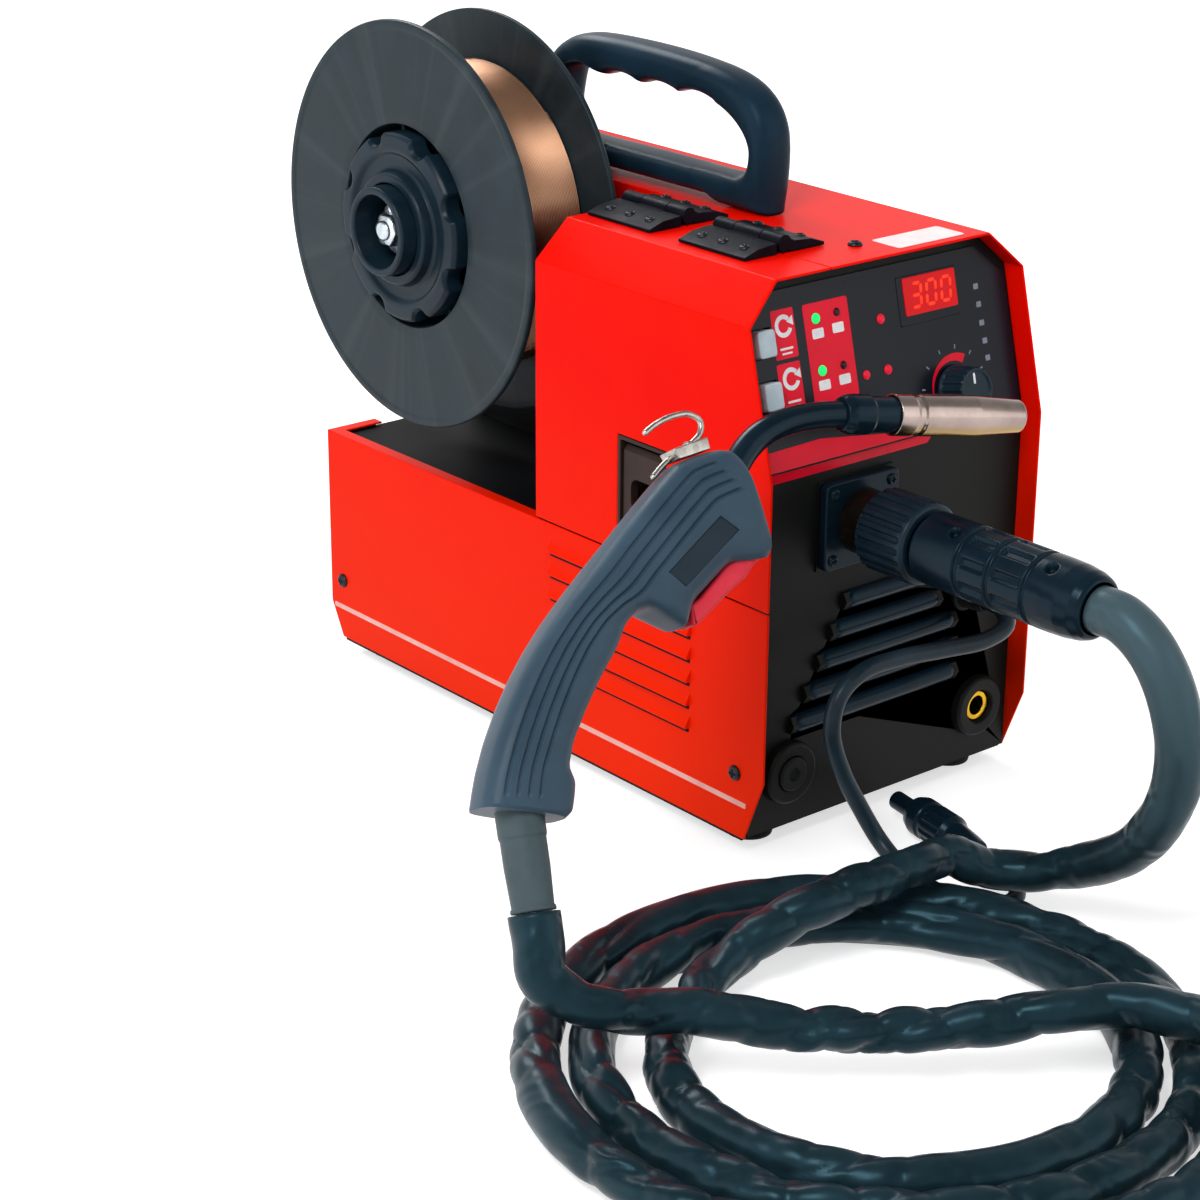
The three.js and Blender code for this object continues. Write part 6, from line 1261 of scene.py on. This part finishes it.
# two beads with a wire groove between them and knurled rims
for node, body, z, radius, bore in (
    ("drive_roll", "lower_roll", 135, 15, 4.3), ("pressure_roll", "upper_roll", 161.8, 11, 2.8)
):
    addPiece(node + "_rim", lathe([
        (bore, -6), (radius - 0.6, -6), (radius, -5.4), (radius, -1.2), (radius - 0.9, 0), (radius, 1.2),
        (radius, 5.4), (radius - 0.6, 6), (bore, 6),
    ], 0.25, (seat["x"], 90, z), (1, 0, 0), 180, True, cut=(
        0.25, lambda r, h: (np.abs(h) > 1.6) & (r > radius - 0.3), teeth(45, 1)
    )), "zincPlatedSteel", body, replaces=node)

tension = {"base": (-17.4, 117, 132), "lean": 26, "low": 46.8}
leanAngle = math.radians(tension["lean"])
tensionWay = np.array([0, math.sin(leanAngle), math.cos(leanAngle)])
low = tension["low"]
addPiece("tension_screw_knob", lathe([
    (0.01, low), (6, low), (8.8, low + 2.6), (9, low + 4), (8.6, low + 22.8), (7.6, low + 24), (0.01, low + 24)
], 0.5, tension["base"], tensionWay, 120, cut=(0.9, lambda r, h: (h > low + 3) & (r > 7), teeth(12, 1.6))),
    "mouldedPlugBlack", "tension_screw")
addPiece("tension_screw_stud", [
    lathe([(0.01, 5), (2.4, 5), (2.4, low + 3), (0.01, low + 3)], 0, tension["base"], tensionWay, 28),
    lathe([(2.8, -3.4), (6, -3.4), (6, 3.4), (2.8, 3.4)], 0.4, tension["base"], (1, 0, 0), 40, True),
], "zincPlatedSteel", "tension_screw", replaces="tension_knob")

unitLow, unitHigh = ((np.array(c[:]) - origin) * 1000 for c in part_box("power_unit"))
x0, x1, z0, upright = unitLow[0], unitHigh[0], case["bottom"] + 8, facing("z")
board = plate(roundedBox(x1 - x0, 230, 1.5, ((x0 + x1) / 2, 175)), z0, z0 + 1.6, 0.1, upright)
addPiece("circuit_board", board, "solderMaskGreen", replaces="power_unit")
addPiece("board_posts", [
    lathe([(0.01, z0 - 7.8), (3, z0 - 7.8), (3, z0 + 0.4), (0.01, z0 + 0.4)], 0, (x, y, 0), (0, 0, 1), 24)
    for x in (x0 + 5, x1 - 5) for y in (66, 284)
], "turnedBrass")
fins = [roundedBox(4, 62, 0.3, (x0 + 10, z0 + 31))]
fins += [roundedBox(27, 1.8, 0.3, (x0 + 24.5, z0 + 8.9 + i * 15)) for i in range(4)]
addPiece("heat_sink", [plate(fin, 150, 230, 0.2, facing("y")) for fin in fins], "castAluminium")
addPiece("capacitors", [lathe([
    (0.01, z0 + 1), (13.6, z0 + 1), (14, 18.6), (13.3, 19.8), (14, 21), (14, z0 + 42.6), (13, z0 + 44),
    (11.6, z0 + 43.2), (0.01, z0 + 43.2),
], 0.4, (x0 + x, 262, 0), (0, 0, 1)) for x in (18, 49)], "mouldedPlugBlack")
addPiece("transformer_core", [
    plate(roundedBox(wide, 66, 1, (x0 + x, 105)), z0 + low, z0 + high, 0.4, upright)
    for wide, x, low, high in ((54, 35, 1, 13), (10, 13, 11, 59), (10, 57, 11, 59), (54, 35, 51, 63))
], "mouldedNylonInset", slot="black_plastic")
addPiece("transformer_coil", lathe([
    (0.01, z0 + 12), (14, z0 + 12), (15, z0 + 14), (15, z0 + 50), (14, z0 + 52), (0.01, z0 + 52)
], 0.4, (x0 + 35, 105, 0), (0, 0, 1), 64), "transformerTape")

y = rearY
addPiece("mains_clamp", lathe([
    (6, y - 9), (11, y - 9), (11, y + 0.3), (15, y + 0.3), (15, y + 5), (12.4, y + 5.6), (12, y + 7),
    (10.6, y + 18.6), (9.6, y + 20), (6, y + 20),
], 0.5, (58, 0, 96), back, 192, True, cut=(0.7, lambda r, h: (h > y + 6.5) & (r > 9), teeth(16, 2))),
    "mouldedPlugBlack", replaces="mains_gland")
addPiece("gas_barb", [lathe([
    (2, y - 14), (5, y - 14), (5, y + 5.4), (4.3, y + 6.4), (5, y + 9.4), (4.0, y + 9.8), (4.6, y + 13.4),
    (3.7, y + 13.8), (4.2, y + 17), (3.4, y + 20), (2, y + 20),
], 0.2, (-40, 0, 70), back, 48, True), lathe([
    (4.9, y + 0.3), (8.5, y + 0.3), (8.5, y + 4.6), (8, y + 5), (4.9, y + 5)
], 0.2, (-40, 0, 70), back, 6, True)], "turnedBrass", even=False, replaces="gas_inlet")
rearPlaces = ((5, 250), (75, 240), (75, 20), (-48, 20), (75, 140))
addScrews("rear_screws", [((x, y, z), back, 3.2) for x, z in rearPlaces])
print("feeder, power side and back fitted")
